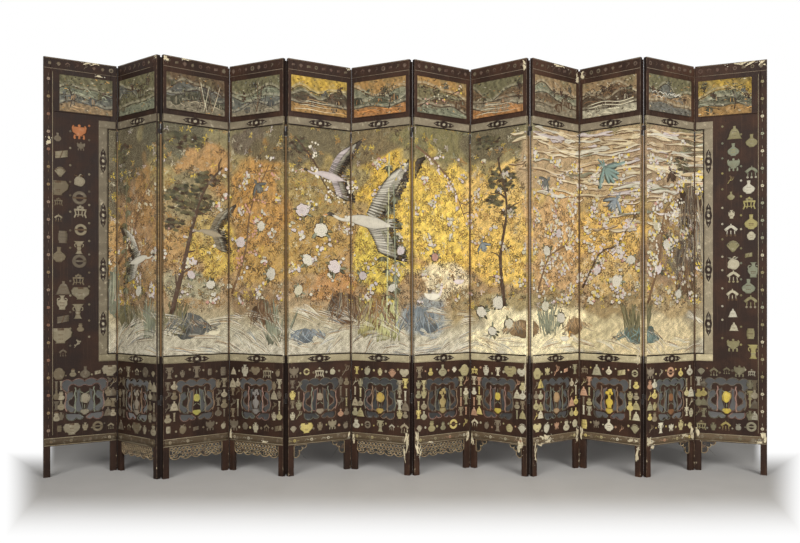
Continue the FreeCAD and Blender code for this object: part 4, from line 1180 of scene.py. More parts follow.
def lower_field(sheet, leaf):
    """Antiques round the pierced window: a row over it, a row under it, and slender ones beside it."""
    draw = luck(leaf, 81)
    low, high = sheet.bounds[:2]
    middle = window_middle(leaf)
    for z in ROWS:
        place = np.linspace(low + 0.036, high - 0.036, 5)
        for k, u in enumerate(place):
            small = k % 2 == (leaf + (z > 0.5)) % 2
            size = draw.uniform(0.046, 0.056) if small else draw.uniform(0.064, 0.078)
            kind = KINDS[draw.integers(len(KINDS))]
            antique(sheet, kind, u + draw.uniform(-0.005, 0.005), z + draw.uniform(-0.008, 0.006), size,
                    *tints(leaf, draw), seed=leaf * 40 + k)
        for u in (place[:-1] + place[1:]) / 2:
            sheet.press(FLORET, u, z + draw.uniform(-0.02, 0.02), tints(leaf, draw)[0],
                        draw.uniform(0.006, 0.011), draw.uniform(0, 6), 2, 6)
    for side in (-1, 1):
        edge = low if side < 0 else high
        inner = middle + side * (WINDOW_WIDTH / 2 + 0.010)
        for k, z in enumerate(BESIDE):
            for share in (0.30, 0.76):
                u = edge + (inner - edge) * share
                kind = ("stick", "vase", "flask", "gourd", "beaker", "branch", "bell")[draw.integers(7)]
                antique(sheet, kind, u, z + draw.uniform(-0.008, 0.008), draw.uniform(0.050, 0.064),
                        *tints(leaf, draw), seed=leaf * 40 + k + 20)


def tall_field(sheet, leaf):
    """Antiques in two loose columns up the side field of an end leaf, one of them a reddish censer."""
    draw = luck(leaf, 82)
    pale = (OLIVE * 1.1, CREAM * 0.64, pigment(146, 136, 88), SAGE * 0.7, GESSO * 0.62)
    for k, z in enumerate(np.arange(0.80, 2.30, 0.107)):
        for column, away in enumerate((0.345, 0.230)):
            if draw.uniform() < 0.12:
                continue
            u = inwards(leaf, away + draw.uniform(-0.018, 0.018))
            level = z + 0.05 * column + draw.uniform(-0.012, 0.012)
            if level > 2.28:
                continue
            kind = KINDS[draw.integers(len(KINDS))]
            small = draw.uniform() < 0.3
            paint, detail = tints(leaf, draw)
            if leaf == LAST:
                paint = pale[draw.integers(5)]
            if leaf == FIRST and k == 13 and column:
                kind, paint, small = "censer", pigment(158, 100, 62), False
            antique(sheet, kind, u, level, 0.055 if small else draw.uniform(0.078, 0.100), paint, detail,
                    leaf * 60 + k)
            sheet.press(FLORET, inwards(leaf, away - 0.058), level + 0.045, paint * 0.8, 0.009, 0.0, 2, 6)


def flowers(sheet, leaf):
    """A brown band along the base rail between two fine light lines, with small flowers in it, a row of
    little antiques along the top rail, and flowers up the outer band of an end leaf."""
    draw = luck(leaf, 83)
    dull = pigment(176, 162, 132)
    # Painted light: the band's brown grows lighter from leaf to leaf towards the right.
    tone = pigment(84, 70, 52) * (0.7 + 0.07 * min(leaf, 8))
    low, high = MARGIN, LEAF_WIDTH - MARGIN
    def line(points, width, paint):
        sheet.draw(points, width, paint, 2, 4, len(points))
    def flower(u, z, paint, heart):
        sheet.press(FLORET, u, z, paint, 0.0125, draw.uniform(0, 6), 2, 6)
        sheet.press(DISC, u, z, BARK, heart, 0, 7, 4)
    sheet.lay(low, high, *BAND_LINES, 1.2, LINE_PITCH, plain(tone))
    for z in BAND_LINES:
        line(((low, z), (high, z)), 0.0030, dull * 0.8)
    for u in np.linspace(0.045, LEAF_WIDTH - 0.045, 4):
        tone = tints(leaf, draw)[0]
        flower(u, BAND_MIDDLE, tone, 0.004)
        sheet.press(LEAFLET, [u - 0.024, u + 0.024], BAND_MIDDLE, tone * 0.8, (0.010, 0.022),
                    (math.pi / 2, -math.pi / 2), 2, 5)
        line(((u - 0.05, 0.218), (u - 0.036, 0.232), (u - 0.020, 0.222)), 0.0022, tone * 0.7)
    line(((low, FILLET + 0.002), (high, FILLET + 0.002)), 0.0030, pigment(122, 108, 90))
    line(((low, TOP - 0.0045), (0.2, TOP - 0.005), (high, TOP - 0.0045)), (0.003, 0.0018, 0.003),
         pigment(128, 112, 92))
    for k, u in enumerate(np.linspace(0.035, LEAF_WIDTH - 0.035, 8)):
        tone = (pigment(96, 78, 66), pigment(84, 64, 54), pigment(104, 92, 74))[draw.integers(3)]
        kind = ("branch", "scroll", "ring", "fan", "melon", "chime")[draw.integers(6)]
        antique(sheet, kind, u, TOP_MIDDLE, draw.uniform(0.026, 0.036), tone, tone * 0.6, leaf * 9 + k)
    if leaf in (FIRST, LAST):
        edge = inwards(leaf, LEAF_WIDTH - END_BAND)
        line(((edge, 0.27), (edge, 2.610)), 0.0030, dull * 0.75)
        u = inwards(leaf, LEAF_WIDTH - END_BAND / 2 - 0.002)
        bright = ((CREAM * 0.8, OLIVE * 1.3, SAGE) if leaf == LAST else
                  (pigment(122, 88, 70), pigment(128, 108, 78), pigment(132, 112, 96)))
        for z in np.arange(0.30, 2.62, 0.113):
            tone = bright[draw.integers(3)]
            flower(u, z, tone, 0.0035)
            sheet.press(LEAFLET, u, [z - 0.027, z + 0.027], tone * 0.7, (0.009, 0.022), (0, math.pi), 2, 5)


def cartouche(sheet, u, z, reach, upright=False):
    """A dark ogival cartouche with a pale flower in the middle and a scroll to each side."""
    turn = math.pi / 2 if upright else 0.0
    half = reach / 2
    profile = ((0, 0.005), (0.05, 0.020), (0.14, 0.085), (0.24, 0.110), (0.30, 0.080), (0.37, 0.125),
               (0.5, 0.150), (0.63, 0.125), (0.70, 0.080), (0.76, 0.110), (0.86, 0.085), (0.95, 0.020),
               (1, 0.005))
    form = turned_profile(profile, TABLET, 26)
    form.places[:, 1] -= 0.5
    sheet.press(form, u, z, INK, reach, turn - math.pi / 2, 4, 3)
    def at(x, y=0.0):
        return (u - y * reach, z + x * reach) if upright else (u + x * reach, z + y * reach)
    petal = pigment(168, 158, 134)
    sheet.press(FLORET, *at(0), petal, (half * 0.17, half * 0.12), turn + 0.3, 8, 3)
    for side in (-1, 1):
        for y in (0.045, -0.045):
            curl = (0.17, y), (0.17 + 0.07, y * 0.4), (0.17 + 0.05, -y * 0.2), (0.17, y * 0.2)
            sheet.draw([at(side * x, up) for x, up in curl], reach * 0.022, petal * 0.8, 7, 2, 3)
        sheet.press(LEAFLET, *at(side * 0.37), petal * 0.7, reach * 0.10, turn + side * math.pi / 2, 7, 3)


def bands(leaf):
    """The greige band over and under the scene, and up one side of it on an end leaf, the dark lines
    between band and scene, and the cartouches on the band: three pieces."""
    band, line, marks = Inlay(leaf), Inlay(leaf), Inlay(leaf)
    ends = leaf in (FIRST, LAST)
    u0, u1 = (LEFT, RIGHT) if not ends else sorted((inwards(leaf, RIM), inwards(leaf, END_STRIP)))
    def tone(level):
        def tint(u, z):
            s = leaf * LEAF_WIDTH + u
            return level * (1 + 0.22 * drift(s, z, 0.12, 91) + 0.12 * drift(s, z, 0.03, 92))[:, None]
        return tint
    # Painted light: both bands grow lighter from leaf to leaf towards the right.
    upper = tone(GREIGE * (0.52 + 0.05 * min(leaf, 6)))
    lower = tone(pigment(178, 166, 132) * (0.49 + 0.088 * min(leaf, 8)))
    band.lay(u0, u1, LINE_TOP, BAND_TOP - HAIR, 5, BAND_PITCH, upper)
    band.lay(u0, u1, BAND_FOOT + HAIR, LINE_FOOT, 5, BAND_PITCH, lower)
    dark = plain(INK * 0.5)
    if ends:
        inner, outer = inwards(leaf, END_SCENE), inwards(leaf, END_SCENE + LINE)
        low, high = sorted((outer, inwards(leaf, END_STRIP)))
        def side(u, z):
            share = np.clip((1.5 - z) / 0.9, 0, 1)[:, None]
            return upper(u, z) * (1 - share * 0.4) + lower(u, z) * share * 0.4
        band.lay(low, high, LINE_FOOT, LINE_TOP, 5, BAND_PITCH, side)
        line.lay(*sorted((inner, outer)), LINE_FOOT, LINE_TOP, 4, LINE_PITCH, dark)
        u0, u1 = sorted((inwards(leaf, RIM), outer))
        for z in np.linspace(0.98, 2.06, 4):
            cartouche(marks, (low + high) / 2, z, 0.165, True)
    else:
        cartouche(marks, LEAF_WIDTH / 2 + 0.01 * math.sin(leaf * 2.3), (LINE_TOP + BAND_TOP) / 2, 0.172)
        cartouche(marks, LEAF_WIDTH / 2 - 0.01 * math.sin(leaf * 1.7), (BAND_FOOT + LINE_FOOT) / 2, 0.172)
    for z0, z1 in ((LINE_FOOT, SCENE_FOOT), (SCENE_TOP, LINE_TOP)):
        line.lay(u0, u1, z0, z1, 4, LINE_PITCH, dark)
    return band, line, marks


# The landscape panels.

# For each leaf: sky, distance, middle ground, foreground, and what stands on it.
VIEWS = (
    (OLIVE, SAGE, SLATE, TAN, "tree"), (OLIVE, SLATE, OLIVE, SAGE, "birds"),
    (BARK, SLATE, MOSS, GREIGE, "reeds"), (OLIVE, SAGE, SLATE, GREIGE, "bamboo"),
    (GOLD, MOSS, SOIL, OCHRE, "terraces"), (OCHRE, SAGE, MOSS, RUST, "tree"),
    (OCHRE, OLIVE, BARK, SAGE, "blossom"), (OLIVE, BARK, GREIGE, RUST, "terraces"),
    (TAN, SAGE, BARK, GREIGE, "birds"), (TAN, BARK, SOIL, CREAM, "clouds"),
    (OLIVE, SLATE, TAN, SLATE, "birds"), (GOLD * 0.8, SAGE, MOSS, OCHRE, "tree"),
)
# How far from a leaf's sides its landscape ends: on the left, on the right, and beside a border board.
VIEW_LEFT, VIEW_RIGHT, VIEW_BORDER = 0.021, 0.027, 0.094
# The line that all of them are drawn in, and how high over the leaf it starts.
VIEW_INK, VIEW_BASE = pigment(52, 40, 32), 3


def view_motif(sheet, leaf, motif, draw, at, line):
    """What stands on a landscape: a tree, birds, reeds or bamboo, terraces, blossom or curled clouds. At
    says where a share of the panel lies, and line draws through such shares."""
    if motif == "tree":
        x0 = 0.2 if leaf == FIRST else 0.68
        line(((x0, 0.14), (x0 + 0.03, 0.4), (x0 - 0.03, 0.66)), 0.007, VIEW_INK, 3)
        line(((x0 + 0.02, 0.36), (x0 + 0.12, 0.52)), 0.004, VIEW_INK, 3)
        n = 70
        spread = draw.normal(0, 1, (2, n))
        sheet.press(LEAFLET, *at(x0 + 0.09 * spread[0], 0.70 + 0.12 * spread[1]),
                    chosen(draw, n, (MOSS, OLIVE, VIEW_INK), (2, 1, 1)), 0.013, draw.uniform(0, 6, n),
                    VIEW_BASE + 4, 4)
    elif motif == "birds":
        for _ in range(5):
            x0, y0 = draw.uniform(0.15, 0.85), draw.uniform(0.35, 0.85)
            for side in (-1, 1):
                line(((x0, y0), (x0 + side * 0.05, y0 + 0.07), (x0 + side * 0.12, y0 + 0.03)), 0.0036,
                     WHITE if leaf > 9 else VIEW_INK, 4)
    elif motif in ("reeds", "bamboo"):
        for _ in range(12 if motif == "reeds" else 6):
            x0 = draw.uniform(0.45, 0.9) if motif == "reeds" else draw.uniform(0.35, 0.7)
            lean = draw.normal(0, 0.10)
            line(((x0, 0.05), (x0 + lean / 2, 0.4), (x0 + lean, draw.uniform(0.6, 0.92))), 0.0036,
                 (VIEW_INK, CREAM, BARK)[draw.integers(3)], 3)
        n = 46
        sheet.press(LEAFLET, *at(draw.uniform(0.35, 0.9, n), draw.uniform(0.35, 0.85, n)), VIEW_INK,
                    (0.008, 0.024), draw.normal(0, 0.8, n), VIEW_BASE + 3, 4)
    elif motif == "terraces":
        for k in range(6):
            y0 = 0.08 + 0.055 * k
            line(((0.05 + 0.05 * k, y0), (0.3, y0 + 0.03), (0.6, y0 - 0.01), (0.95 - 0.06 * k, y0 + 0.02)),
                 (0.002, 0.005, 0.003, 0.001), TAN if k % 2 else CREAM, 3)
    elif motif == "blossom":
        line(((0.05, 0.15), (0.3, 0.45), (0.55, 0.5), (0.85, 0.8)), 0.005, VIEW_INK, 3)
        n = 36
        t = draw.uniform(0.1, 0.9, n)
        sheet.press(FLORET, *at(t, 0.15 + 0.7 * t + draw.normal(0, 0.12, n)),
                    chosen(draw, n, (ROSE, CREAM, VIEW_INK, YELLOW), (2, 2, 1, 1)),
                    draw.uniform(0.004, 0.009, n)[:, None], 0.0, VIEW_BASE + 4, 4)
    else:
        for k in range(7):
            x0 = 0.08 + 0.11 * k
            turn = np.linspace(0, 5.5, 9)
            y0 = 0.62 + 0.10 * (k % 2)
            reach = 1 - turn / 9
            curl = x0 + 0.055 * np.cos(turn) * reach, y0 + 0.11 * np.sin(turn) * reach
            line(np.column_stack(curl), 0.004, VIEW_INK, 3)
        for y0 in (0.25, 0.34):
            line(((0.1, y0), (0.4, y0 + 0.06), (0.7, y0 - 0.02), (0.95, y0 + 0.03)), 0.006, CREAM, 3)


def landscape(sheet, leaf):
    """A small landscape, flush in its frame: sky, hills, ground and bank as washes, a dark line along each
    ridge, strokes, rocks, bushes and specks on them, and one motif of its own."""
    u0 = VIEW_BORDER if leaf == FIRST else VIEW_LEFT
    u1 = LEAF_WIDTH - (VIEW_BORDER if leaf == LAST else VIEW_RIGHT)
    sky, far, mid, near, motif = VIEWS[leaf]
    draw = luck(leaf, 95)
    z0, z1 = NECK_TOP + 0.006, CORNICE_FOOT + 0.010
    wide, tall = u1 - u0, z1 - z0
    sheet.bounds = (u0, u1, z0, z1)
    light = 0.66 if leaf in (FIRST, 2, LAST) else 0.78
    ridges = ((0.64, 0.22, far, 1), (0.46, 0.16, mid, 2), (0.24, 0.10, near, 3))
    def crest(x, level, rise, seed):
        return level + rise * 2.0 * drift(np.asarray(x) * 0.4, 0 * np.asarray(x), 0.30, leaf * 7 + seed)
    def tint(u, z):
        x, y = (u - u0) / wide, (z - z0) / tall
        s = leaf * LEAF_WIDTH + u
        colour = np.tile(sky, (len(u), 1)) * (1 + 0.25 * drift(s, z, 0.07, 96))[:, None]
        haze = 0.55 * np.clip(drift(s, z, 0.13, 97) * 2 + y - 0.6, 0, 1)
        colour = colour + (OLIVE - colour) * haze[:, None]
        for level, rise, tone, seed in ridges:
            share = np.clip((crest(x, level, rise, seed) - y) / 0.04, 0, 1)[:, None] * 0.9
            colour = colour * (1 - share) + tone * (1 + 0.3 * drift(s, z, 0.03, 98 + seed))[:, None] * share
            mist = np.clip(1 - np.abs(y - crest(x, level, rise, seed) - 0.05) / 0.05, 0, 1)[:, None]
            colour = colour + (CREAM - colour) * 0.55 * mist
        grain = 0.5 * drift(s, z, 0.04, 131) + 0.4 * drift(s, z, 0.015, 132)
        return (colour * 0.72 + MOSS * 0.28) * np.clip(light + grain, 0.25, 1.25)[:, None]
    # The panel fills its sight up to the face of the stiles, and its paint runs on over them.
    sight = (END_BORDER if leaf == FIRST else STILE, LEAF_WIDTH - (END_BORDER if leaf == LAST else STILE))
    sheet.lay(*sight, z0, z1, 4, 0.005, tint, LANDSCAPE_SETBACK * TENTHS + 1)
    sheet.lay(u0, sight[0], z0, z1, 4, 0.005, tint)
    sheet.lay(sight[1], u1, z0, z1, 4, 0.005, tint)
    def at(x, y):
        return u0 + wide * x, z0 + tall * y
    def line(points, width, tone, over=0):
        sheet.draw([at(*p) for p in points], width, tone, VIEW_BASE + over, 5, 3)
    for level, rise, tone, seed in ridges:
        x = np.linspace(0, 1, 9)
        y = crest(x, level, rise, seed)
        line(np.column_stack((x, y)), 0.0052 * draw.uniform(0.3, 1.3, 9), VIEW_INK)
        for k in range(13):
            a, fall = draw.uniform(0, 0.9), draw.uniform(0.02, 0.22)
            height = np.interp(a, x, y) - fall
            reach = draw.uniform(0.05, 0.22)
            shade = draw.choice((0.4, 0.6, 1.25))
            line(((a, height), (min(a + reach / 2, 1), height + draw.uniform(-0.04, 0.07)),
                  (min(a + reach, 1), height - draw.uniform(0.0, 0.06))),
                 draw.uniform(0.0025, 0.0058), np.minimum(tone * shade, 0.8), 2)
    for k in range(3):
        x0, y0 = draw.uniform(0.08, 0.92), draw.uniform(0.12, 0.5)
        half = draw.uniform(0.05, 0.10)
        sheet.press(HEAP[(leaf + k) % 5], *at(x0, y0), mid * 0.55, (wide * half, tall * half * 1.3), 0.0,
                    VIEW_BASE + 2, 3)
        for x in draw.uniform(-0.8, 0.8, 7):
            line(((x0 + x * half, y0 - half), (x0 + x * half * 0.7, y0 + half * (1.1 - abs(x)))), 0.0022,
                 (VIEW_INK, GREIGE, near)[draw.integers(3)], 5)
    for k in range(4):
        x0, y0 = draw.uniform(0.06, 0.94), draw.uniform(0.40, 0.86)
        n = 26
        spread = draw.normal(0, 1, (2, n)) * draw.uniform(0.5, 1.0)
        line(((x0, y0 - 0.22), (x0 + 0.01, y0 - 0.1), (x0, y0)), 0.0028, VIEW_INK, 2)
        tones = (MOSS, VIEW_INK, OLIVE), (SOIL, VIEW_INK, BARK), (SLATE, MOSS, VIEW_INK)
        leafage_tone = tones[draw.integers(3)]
        sheet.press(LEAFLET, *at(x0 + 0.035 * spread[0], y0 + 0.075 * spread[1]),
                    chosen(draw, n, leafage_tone, (2, 2, 1)), draw.uniform(0.012, 0.021, n)[:, None],
                    draw.uniform(0, 6, n), VIEW_BASE + 3, 4)
    n = 90
    x, y = draw.uniform(0.02, 0.98, n), draw.uniform(0.02, 0.98, n)
    tone = chosen(draw, n, (far, mid, near, VIEW_INK, CREAM, OCHRE), (1, 1.5, 1.5, 5, 1.5, 1.5))
    sheet.press(LEAFLET, *at(x, y), tone * draw.uniform(0.7, 1.2, n)[:, None],
                draw.uniform(0.009, 0.022, n)[:, None], draw.normal(math.pi / 2, 0.5, n), VIEW_BASE, 4)
    view_motif(sheet, leaf, motif, draw, at, line)


# Openwork: the outlines that the sawyer followed, here as true arcs.

BAT_WING_SHARES = (
    (0.00, 0.88), (0.32, 1.04, 0.62, 0.90), (1.06, 0.96, 0.98, 0.48),
    (0.88, 0.40, 0.80, 0.54), (0.68, 0.76, 0.38, 0.70), (0.16, 0.68, 0.00, 0.76),
    (-0.16, 0.68, -0.38, 0.70), (-0.68, 0.76, -0.80, 0.54), (-0.88, 0.40, -0.98, 0.48),
    (-1.06, 0.96, -0.62, 0.90), (-0.32, 1.04, 0.00, 0.88),
)
CURL_SHARES = (
    (0.62, 0.36), (0.88, 0.28, 0.90, -0.02), (1.00, -0.34, 0.80, -0.54),
    (0.58, -0.62, 0.58, -0.40), (0.72, -0.30), (0.82, -0.12, 0.66, 0.02), (0.56, 0.20),
)
FOOT_SHARES = ((0.90, -0.74), (0.82, -1.02, 0.46, -0.94), (0.26, -1.04, 0.08, -0.92), (0.34, -0.78))
MOTIF_SHARES = {
    "vase": {"shoulder": 0.14, "middle": 0.34, "foot": 0.18},
    "fruit": {"shoulder": 0.26, "middle": 0.26, "foot": 0.10},
    "blossom": {"shoulder": 0.16, "middle": 0.20, "foot": 0.26},
}
APRON_LOBES = 5
LOBE_CUSP_SHARE, LOBE_LOW_SHARE = -0.74, -1.00
BRACKET_SHARES = (
    (0.00, 0.00), (1.00, 0.00), (0.94, -0.22, 0.62, -0.16),
    (0.62, -0.46, 0.34, -0.44), (0.36, -0.90, 0.00, -0.96),
)


def traced(path, place):
    """The points of an outline: a stroke of two shares is a line to a point, one of four is the arc of
    the circle through the last point, its first pair and its second."""
    points = [np.array(place(*path[0]))]
    for share in path[1:]:
        end = np.array(place(*share[-2:]))
        if len(share) == 4:
            start, through = points[-1], np.array(place(*share[:2]))
            chords = np.array((through - start, end - start))
            centre = start + np.linalg.solve(chords, (chords ** 2).sum(1) / 2)
            from_turn, by_turn, to_turn = (math.atan2(*(p - centre)[::-1]) for p in (start, through, end))
            sweep = (to_turn - from_turn) % (2 * math.pi)
            if (by_turn - from_turn) % (2 * math.pi) > sweep:
                sweep -= 2 * math.pi
            steps = math.ceil(abs(sweep) / ARC_STEP)
            angles = from_turn + sweep * np.arange(1, steps) / steps
            radius = np.linalg.norm(start - centre)
            points.extend(centre + radius * np.stack((np.cos(angles), np.sin(angles)), -1))
        points.append(end)
    points = np.array(points)
    return points[:-1] if np.allclose(points[0], points[-1]) else points


def other_hand(path):
    """The same outline on the other side of the middle."""
    return tuple(tuple(-share if i % 2 == 0 else share for i, share in enumerate(part)) for part in path)


def sawn(leaf, outlines, front, depth, bevel):
    """A board sawn to outlines, the first of them the outside: a filled curve drawn out, with softened
    edges, then turned into a mesh of the leaf and welded."""
    curve = bpy.data.curves.new("outline", "CURVE")
    curve.dimensions, curve.fill_mode = "2D", "BOTH"
    curve.extrude, curve.bevel_depth, curve.offset = depth / 2 - bevel, bevel, -bevel
    curve.bevel_resolution = 0
    for points in outlines:
        spline = curve.splines.new("POLY")
        spline.points.add(len(points) - 1)
        height, weight = np.zeros(len(points)), np.ones(len(points))
        spline.points.foreach_set("co", np.column_stack((points, height, weight)).ravel())
        spline.use_cyclic_u = True
    holder = bpy.data.objects.new("outline", curve)
    bpy.context.scene.collection.objects.link(holder)
    mesh = bpy.data.meshes.new_from_object(holder)
    bpy.data.objects.remove(holder)
    places = np.empty(len(mesh.vertices) * 3)
    mesh.vertices.foreach_get("co", places)
    u, z, out = places.reshape(-1, 3).T
    shell = bmesh.new()
    mesh.vertices.foreach_set("co", world(leaf, u, front + depth / 2 - out, z).ravel())
    mesh.update()
    shell.from_mesh(mesh)
    bmesh.ops.remove_doubles(shell, verts=shell.verts, dist=1e-5)
    bmesh.ops.recalc_face_normals(shell, faces=shell.faces)
    shell.to_mesh(mesh)
    shell.free()
    mesh.materials.clear()
    return mesh


def fret_outlines(leaf):
    """The outside of the pierced board and its openings."""
    middle, level = window_middle(leaf), (BASE_TOP + SEAM) / 2
    place = lambda across, up: (middle + across * WINDOW_WIDTH / 2, level + up * WINDOW_HEIGHT / 2)
    fill = MOTIF_SHARES[FRET_MOTIFS[leaf]]
    slit = (
        (fill["shoulder"], 0.52), (0.44, 0.44), (0.38, 0.12, 0.45, -0.20),
        (0.44, -0.56, fill["foot"], -0.62), (fill["middle"], -0.10),
    )
    paths = [BAT_WING_SHARES]
    for path in (CURL_SHARES, FOOT_SHARES, slit):
        paths += [path, other_hand(path)]
    left, right = (RIM, LEAF_WIDTH - RIM)
    outside = np.array(((left, BASE_TOP), (right, BASE_TOP), (right, SEAM), (left, SEAM)))
    return [outside, *(traced(path, place) for path in paths)], place


# Screen values of the motif's paint on each leaf.
MOTIF_PAINTS = (
    (150, 140, 118), (150, 138, 120), (180, 170, 90), (140, 134, 126), (158, 142, 118), (196, 166, 86),
    (170, 150, 100), (220, 196, 90), (188, 154, 112), (224, 194, 84), (148, 104, 70), (214, 188, 82),
)


# The ribbons that stand beside the motif, and those at the sides of the window, on the right-hand half.
INNER_RIBBON = ((0.50, 0.62), (0.46, 0.48), (0.52, 0.30), (0.47, 0.05), (0.50, -0.25), (0.48, -0.5),
                (0.52, -0.72))
OUTER_RIBBON = ((0.98, 0.36), (0.96, 0.1), (1.02, -0.3), (0.92, -0.62))


def moved_rim(outline, away, least):
    """An outline moved outwards from its middle, or inwards where the way is negative."""
    middle = outline.mean(0)
    out = outline - middle
    return middle + out * (1 + away / np.maximum(np.linalg.norm(out, axis=1, keepdims=True), least))


def carve_fret(sheet, leaf, openings, place):
    """Carved rims round the openings in worn tints, the motif in the middle of the window on its foot, and
    two ribbons to each side."""
    draw = luck(leaf, 101)
    ribbon = (pigment(150, 118, 104), pigment(120, 124, 106), pigment(140, 116, 92), pigment(112, 104, 88))
    for outline in openings:
        grown = moved_rim(outline, 0.0045, 0.004)
        path = np.vstack((grown, grown[:1]))[::2] if len(grown) > 16 else np.vstack((grown, grown[:1]))
        tone = ribbon[draw.integers(4)] * draw.uniform(0.55, 1.0)
        sheet.draw(path, 0.0042, tone, 1, 9, 1)
    u, z = place(0, 0)
    paint = pigment(*MOTIF_PAINTS[leaf]) * 0.82
    motif = FRET_MOTIFS[leaf]
    if motif == "vase":
        sheet.press(VESSELS["vase"], u, z - 0.066, paint, 0.085, 0.0, 2, 10)
        for x, y in ((-0.018, 0.034), (0.0, 0.048), (0.018, 0.034), (-0.008, 0.030), (0.010, 0.052)):
            sheet.press(FLORET, u + x, z + y, paint * 1.1, 0.013, x * 90, 6, 6)
    elif motif == "fruit":
        sheet.press(HEAP[leaf % 5], u, z + 0.004, paint, (0.030, 0.036), 0.0, 2, 7)
        sheet.press(LEAFLET, [u - 0.02, u + 0.02, u], [z + 0.044, z + 0.044, z - 0.05], SAGE,
                    (0.016, 0.034), (1.1, -1.1, 0.0), 4, 6)
    else:
        sheet.press(PEONY[leaf % 4], u, z + 0.010, paint, 0.026, 0.4, 2, 5)
        sheet.press(LEAFLET, [u - 0.016, u + 0.016, u], [z - 0.034, z - 0.034, z + 0.046], SAGE * 0.9,
                    (0.014, 0.034), (2.2, -2.2, 0.0), 2, 6)
    sheet.press(VESSELS["bowl"], u, z - 0.103, paint * 0.8, (0.045, 0.034), 0.0, 2, 8)
    for side in (-1, 1):
        for path, width, tone in ((INNER_RIBBON, 0.0085, ribbon[(leaf + 1) % 4] * 0.9),
                                  (OUTER_RIBBON, 0.0075, ribbon[leaf % 4] * 0.8)):
            sheet.draw([place(side * x, y) for x, y in path], width, tone, 1, 9, 4)


def lobe_shares(lobe):
    """The middle of one lobe and half its width, as shares of half the apron's width."""
    half = 1 / APRON_LOBES
    return (2 * lobe + 1) * half - 1, half


def whole_apron(seed):
    """Outside of the apron and its openings: five lobes, pierced with a net of small slanting holes in
    three rows. The lowest row leaves out the places near the cusps."""
    half_width = LEAF_WIDTH / 2 - STILE
    place = lambda across, up: (LEAF_WIDTH / 2 + across * half_width, BASE_FOOT + up * APRON_HEIGHT)
    path = [(1, 0), (-1, 0), (-1, LOBE_CUSP_SHARE)]
    for lobe in range(APRON_LOBES):
        middle, half = lobe_shares(lobe)
        path.append((middle, LOBE_LOW_SHARE, middle + half, LOBE_CUSP_SHARE))
    draw = luck(seed, 105)
    turn = np.linspace(0, 2 * math.pi, 9)[:-1]
    holes = []
    pitch = 2 * half_width / 14
    for row, low in enumerate((0.19, 0.46, 0.74)):
        for column in np.arange(0.7 + 0.5 * (row % 2), 13.5):
            across = column / 7 - 1
            lobed = abs(((across + 1) * APRON_LOBES / 2) % 1 - 0.5)
            if low > 0.70 and lobed > 0.36:
                continue
            u, z = place(across, -low)
            reach = pitch * draw.uniform(0.34, 0.44), APRON_HEIGHT * draw.uniform(0.080, 0.105)
            slant = draw.choice((-1, 1)) * draw.uniform(0.15, 0.6)
            x, y = reach[0] * np.cos(turn), reach[1] * np.sin(turn)
            holes.append(np.column_stack((u + x * math.cos(slant) - y * math.sin(slant),
                                          z + x * math.sin(slant) + y * math.cos(slant))))
    return [traced(path, place), *holes]


def brackets(sides):
    """Outsides of what a broken apron leaves beside its legs."""
    outlines = []
    for side in sides:
        def place(across, up):
            reach = STILE + across * BRACKET_REACH
            return (reach if side > 0 else LEAF_WIDTH - reach, BASE_FOOT + up * APRON_HEIGHT)
        outlines.append(traced(BRACKET_SHARES, place))
    return outlines


def carve_apron(sheet, outlines, seed):
    """Scrolls carved on an apron: a bead along its outside, and a fine one round every opening."""
    draw = luck(seed, 111)
    front = -APRON_SETBACK * TENTHS - 1
    for k, outline in enumerate(outlines):
        moved = moved_rim(outline, -0.0035 if k == 0 else 0.0016, 0.003)
        sheet.draw(np.vstack((moved, moved[:1])), 0.0032 if k == 0 else 0.0030,
                   pigment(214, 186, 138) * draw.uniform(0.8, 1.2), front, 12, 1, BLADE)


# Losses: where the lacquer has broken off down to its chalky ground. Leaf, across, height, half reach
# across and up.
LOSSES = (
    (0, 0.028, 2.165, 0.014, 0.020), (0, 0.285, 2.695, 0.050, 0.006), (0, 0.330, 2.618, 0.026, 0.006),
    (2, 0.018, 2.680, 0.020, 0.016), (2, 0.150, 2.694, 0.030, 0.006), (5, 0.425, 0.205, 0.010, 0.075),
    (5, 0.408, 0.130, 0.006, 0.050), (6, 0.018, 0.215, 0.011, 0.070), (6, 0.044, 0.165, 0.006, 0.045),
    (7, 0.395, 0.200, 0.020, 0.042), (7, 0.436, 0.680, 0.006, 0.120), (7, 0.430, 2.655, 0.012, 0.030),
    (8, 0.012, 0.760, 0.018, 0.018), (8, 0.060, 0.772, 0.050, 0.007), (8, 0.026, 0.155, 0.007, 0.060),
    (8, 0.110, 0.240, 0.042, 0.012), (8, 0.070, 0.200, 0.022, 0.010), (8, 0.255, 2.690, 0.055, 0.009),
    (8, 0.430, 2.640, 0.012, 0.030), (8, 0.428, 0.220, 0.012, 0.042), (9, 0.016, 2.660, 0.018, 0.026),
    (9, 0.012, 0.230, 0.012, 0.040), (9, 0.425, 0.160, 0.014, 0.050), (9, 0.432, 0.755, 0.010, 0.045),
    (9, 0.395, 0.232, 0.030, 0.012), (10, 0.018, 0.235, 0.020, 0.026), (10, 0.052, 0.190, 0.014, 0.012),
    (10, 0.424, 0.250, 0.014, 0.040), (10, 0.350, 0.236, 0.030, 0.010), (11, 0.014, 0.240, 0.014, 0.035),
    (11, 0.425, 0.250, 0.015, 0.035), (11, 0.400, 0.212, 0.020, 0.009), (11, 0.300, 2.690, 0.070, 0.008),
    (11, 0.420, 2.680, 0.022, 0.016), (4, 0.430, 2.690, 0.012, 0.008), (3, 0.010, 0.240, 0.008, 0.030),
    (6, 0.430, 0.212, 0.011, 0.034), (7, 0.016, 0.200, 0.011, 0.036), (4, 0.436, 0.226, 0.006, 0.020),
    (5, 0.016, 0.206, 0.010, 0.028), (8, 0.150, 0.214, 0.030, 0.008), (10, 0.030, 0.222, 0.026, 0.016),
    (1, 0.432, 2.688, 0.010, 0.010), (6, 0.120, 0.204, 0.020, 0.005), (3, 0.300, 0.212, 0.030, 0.006),
)


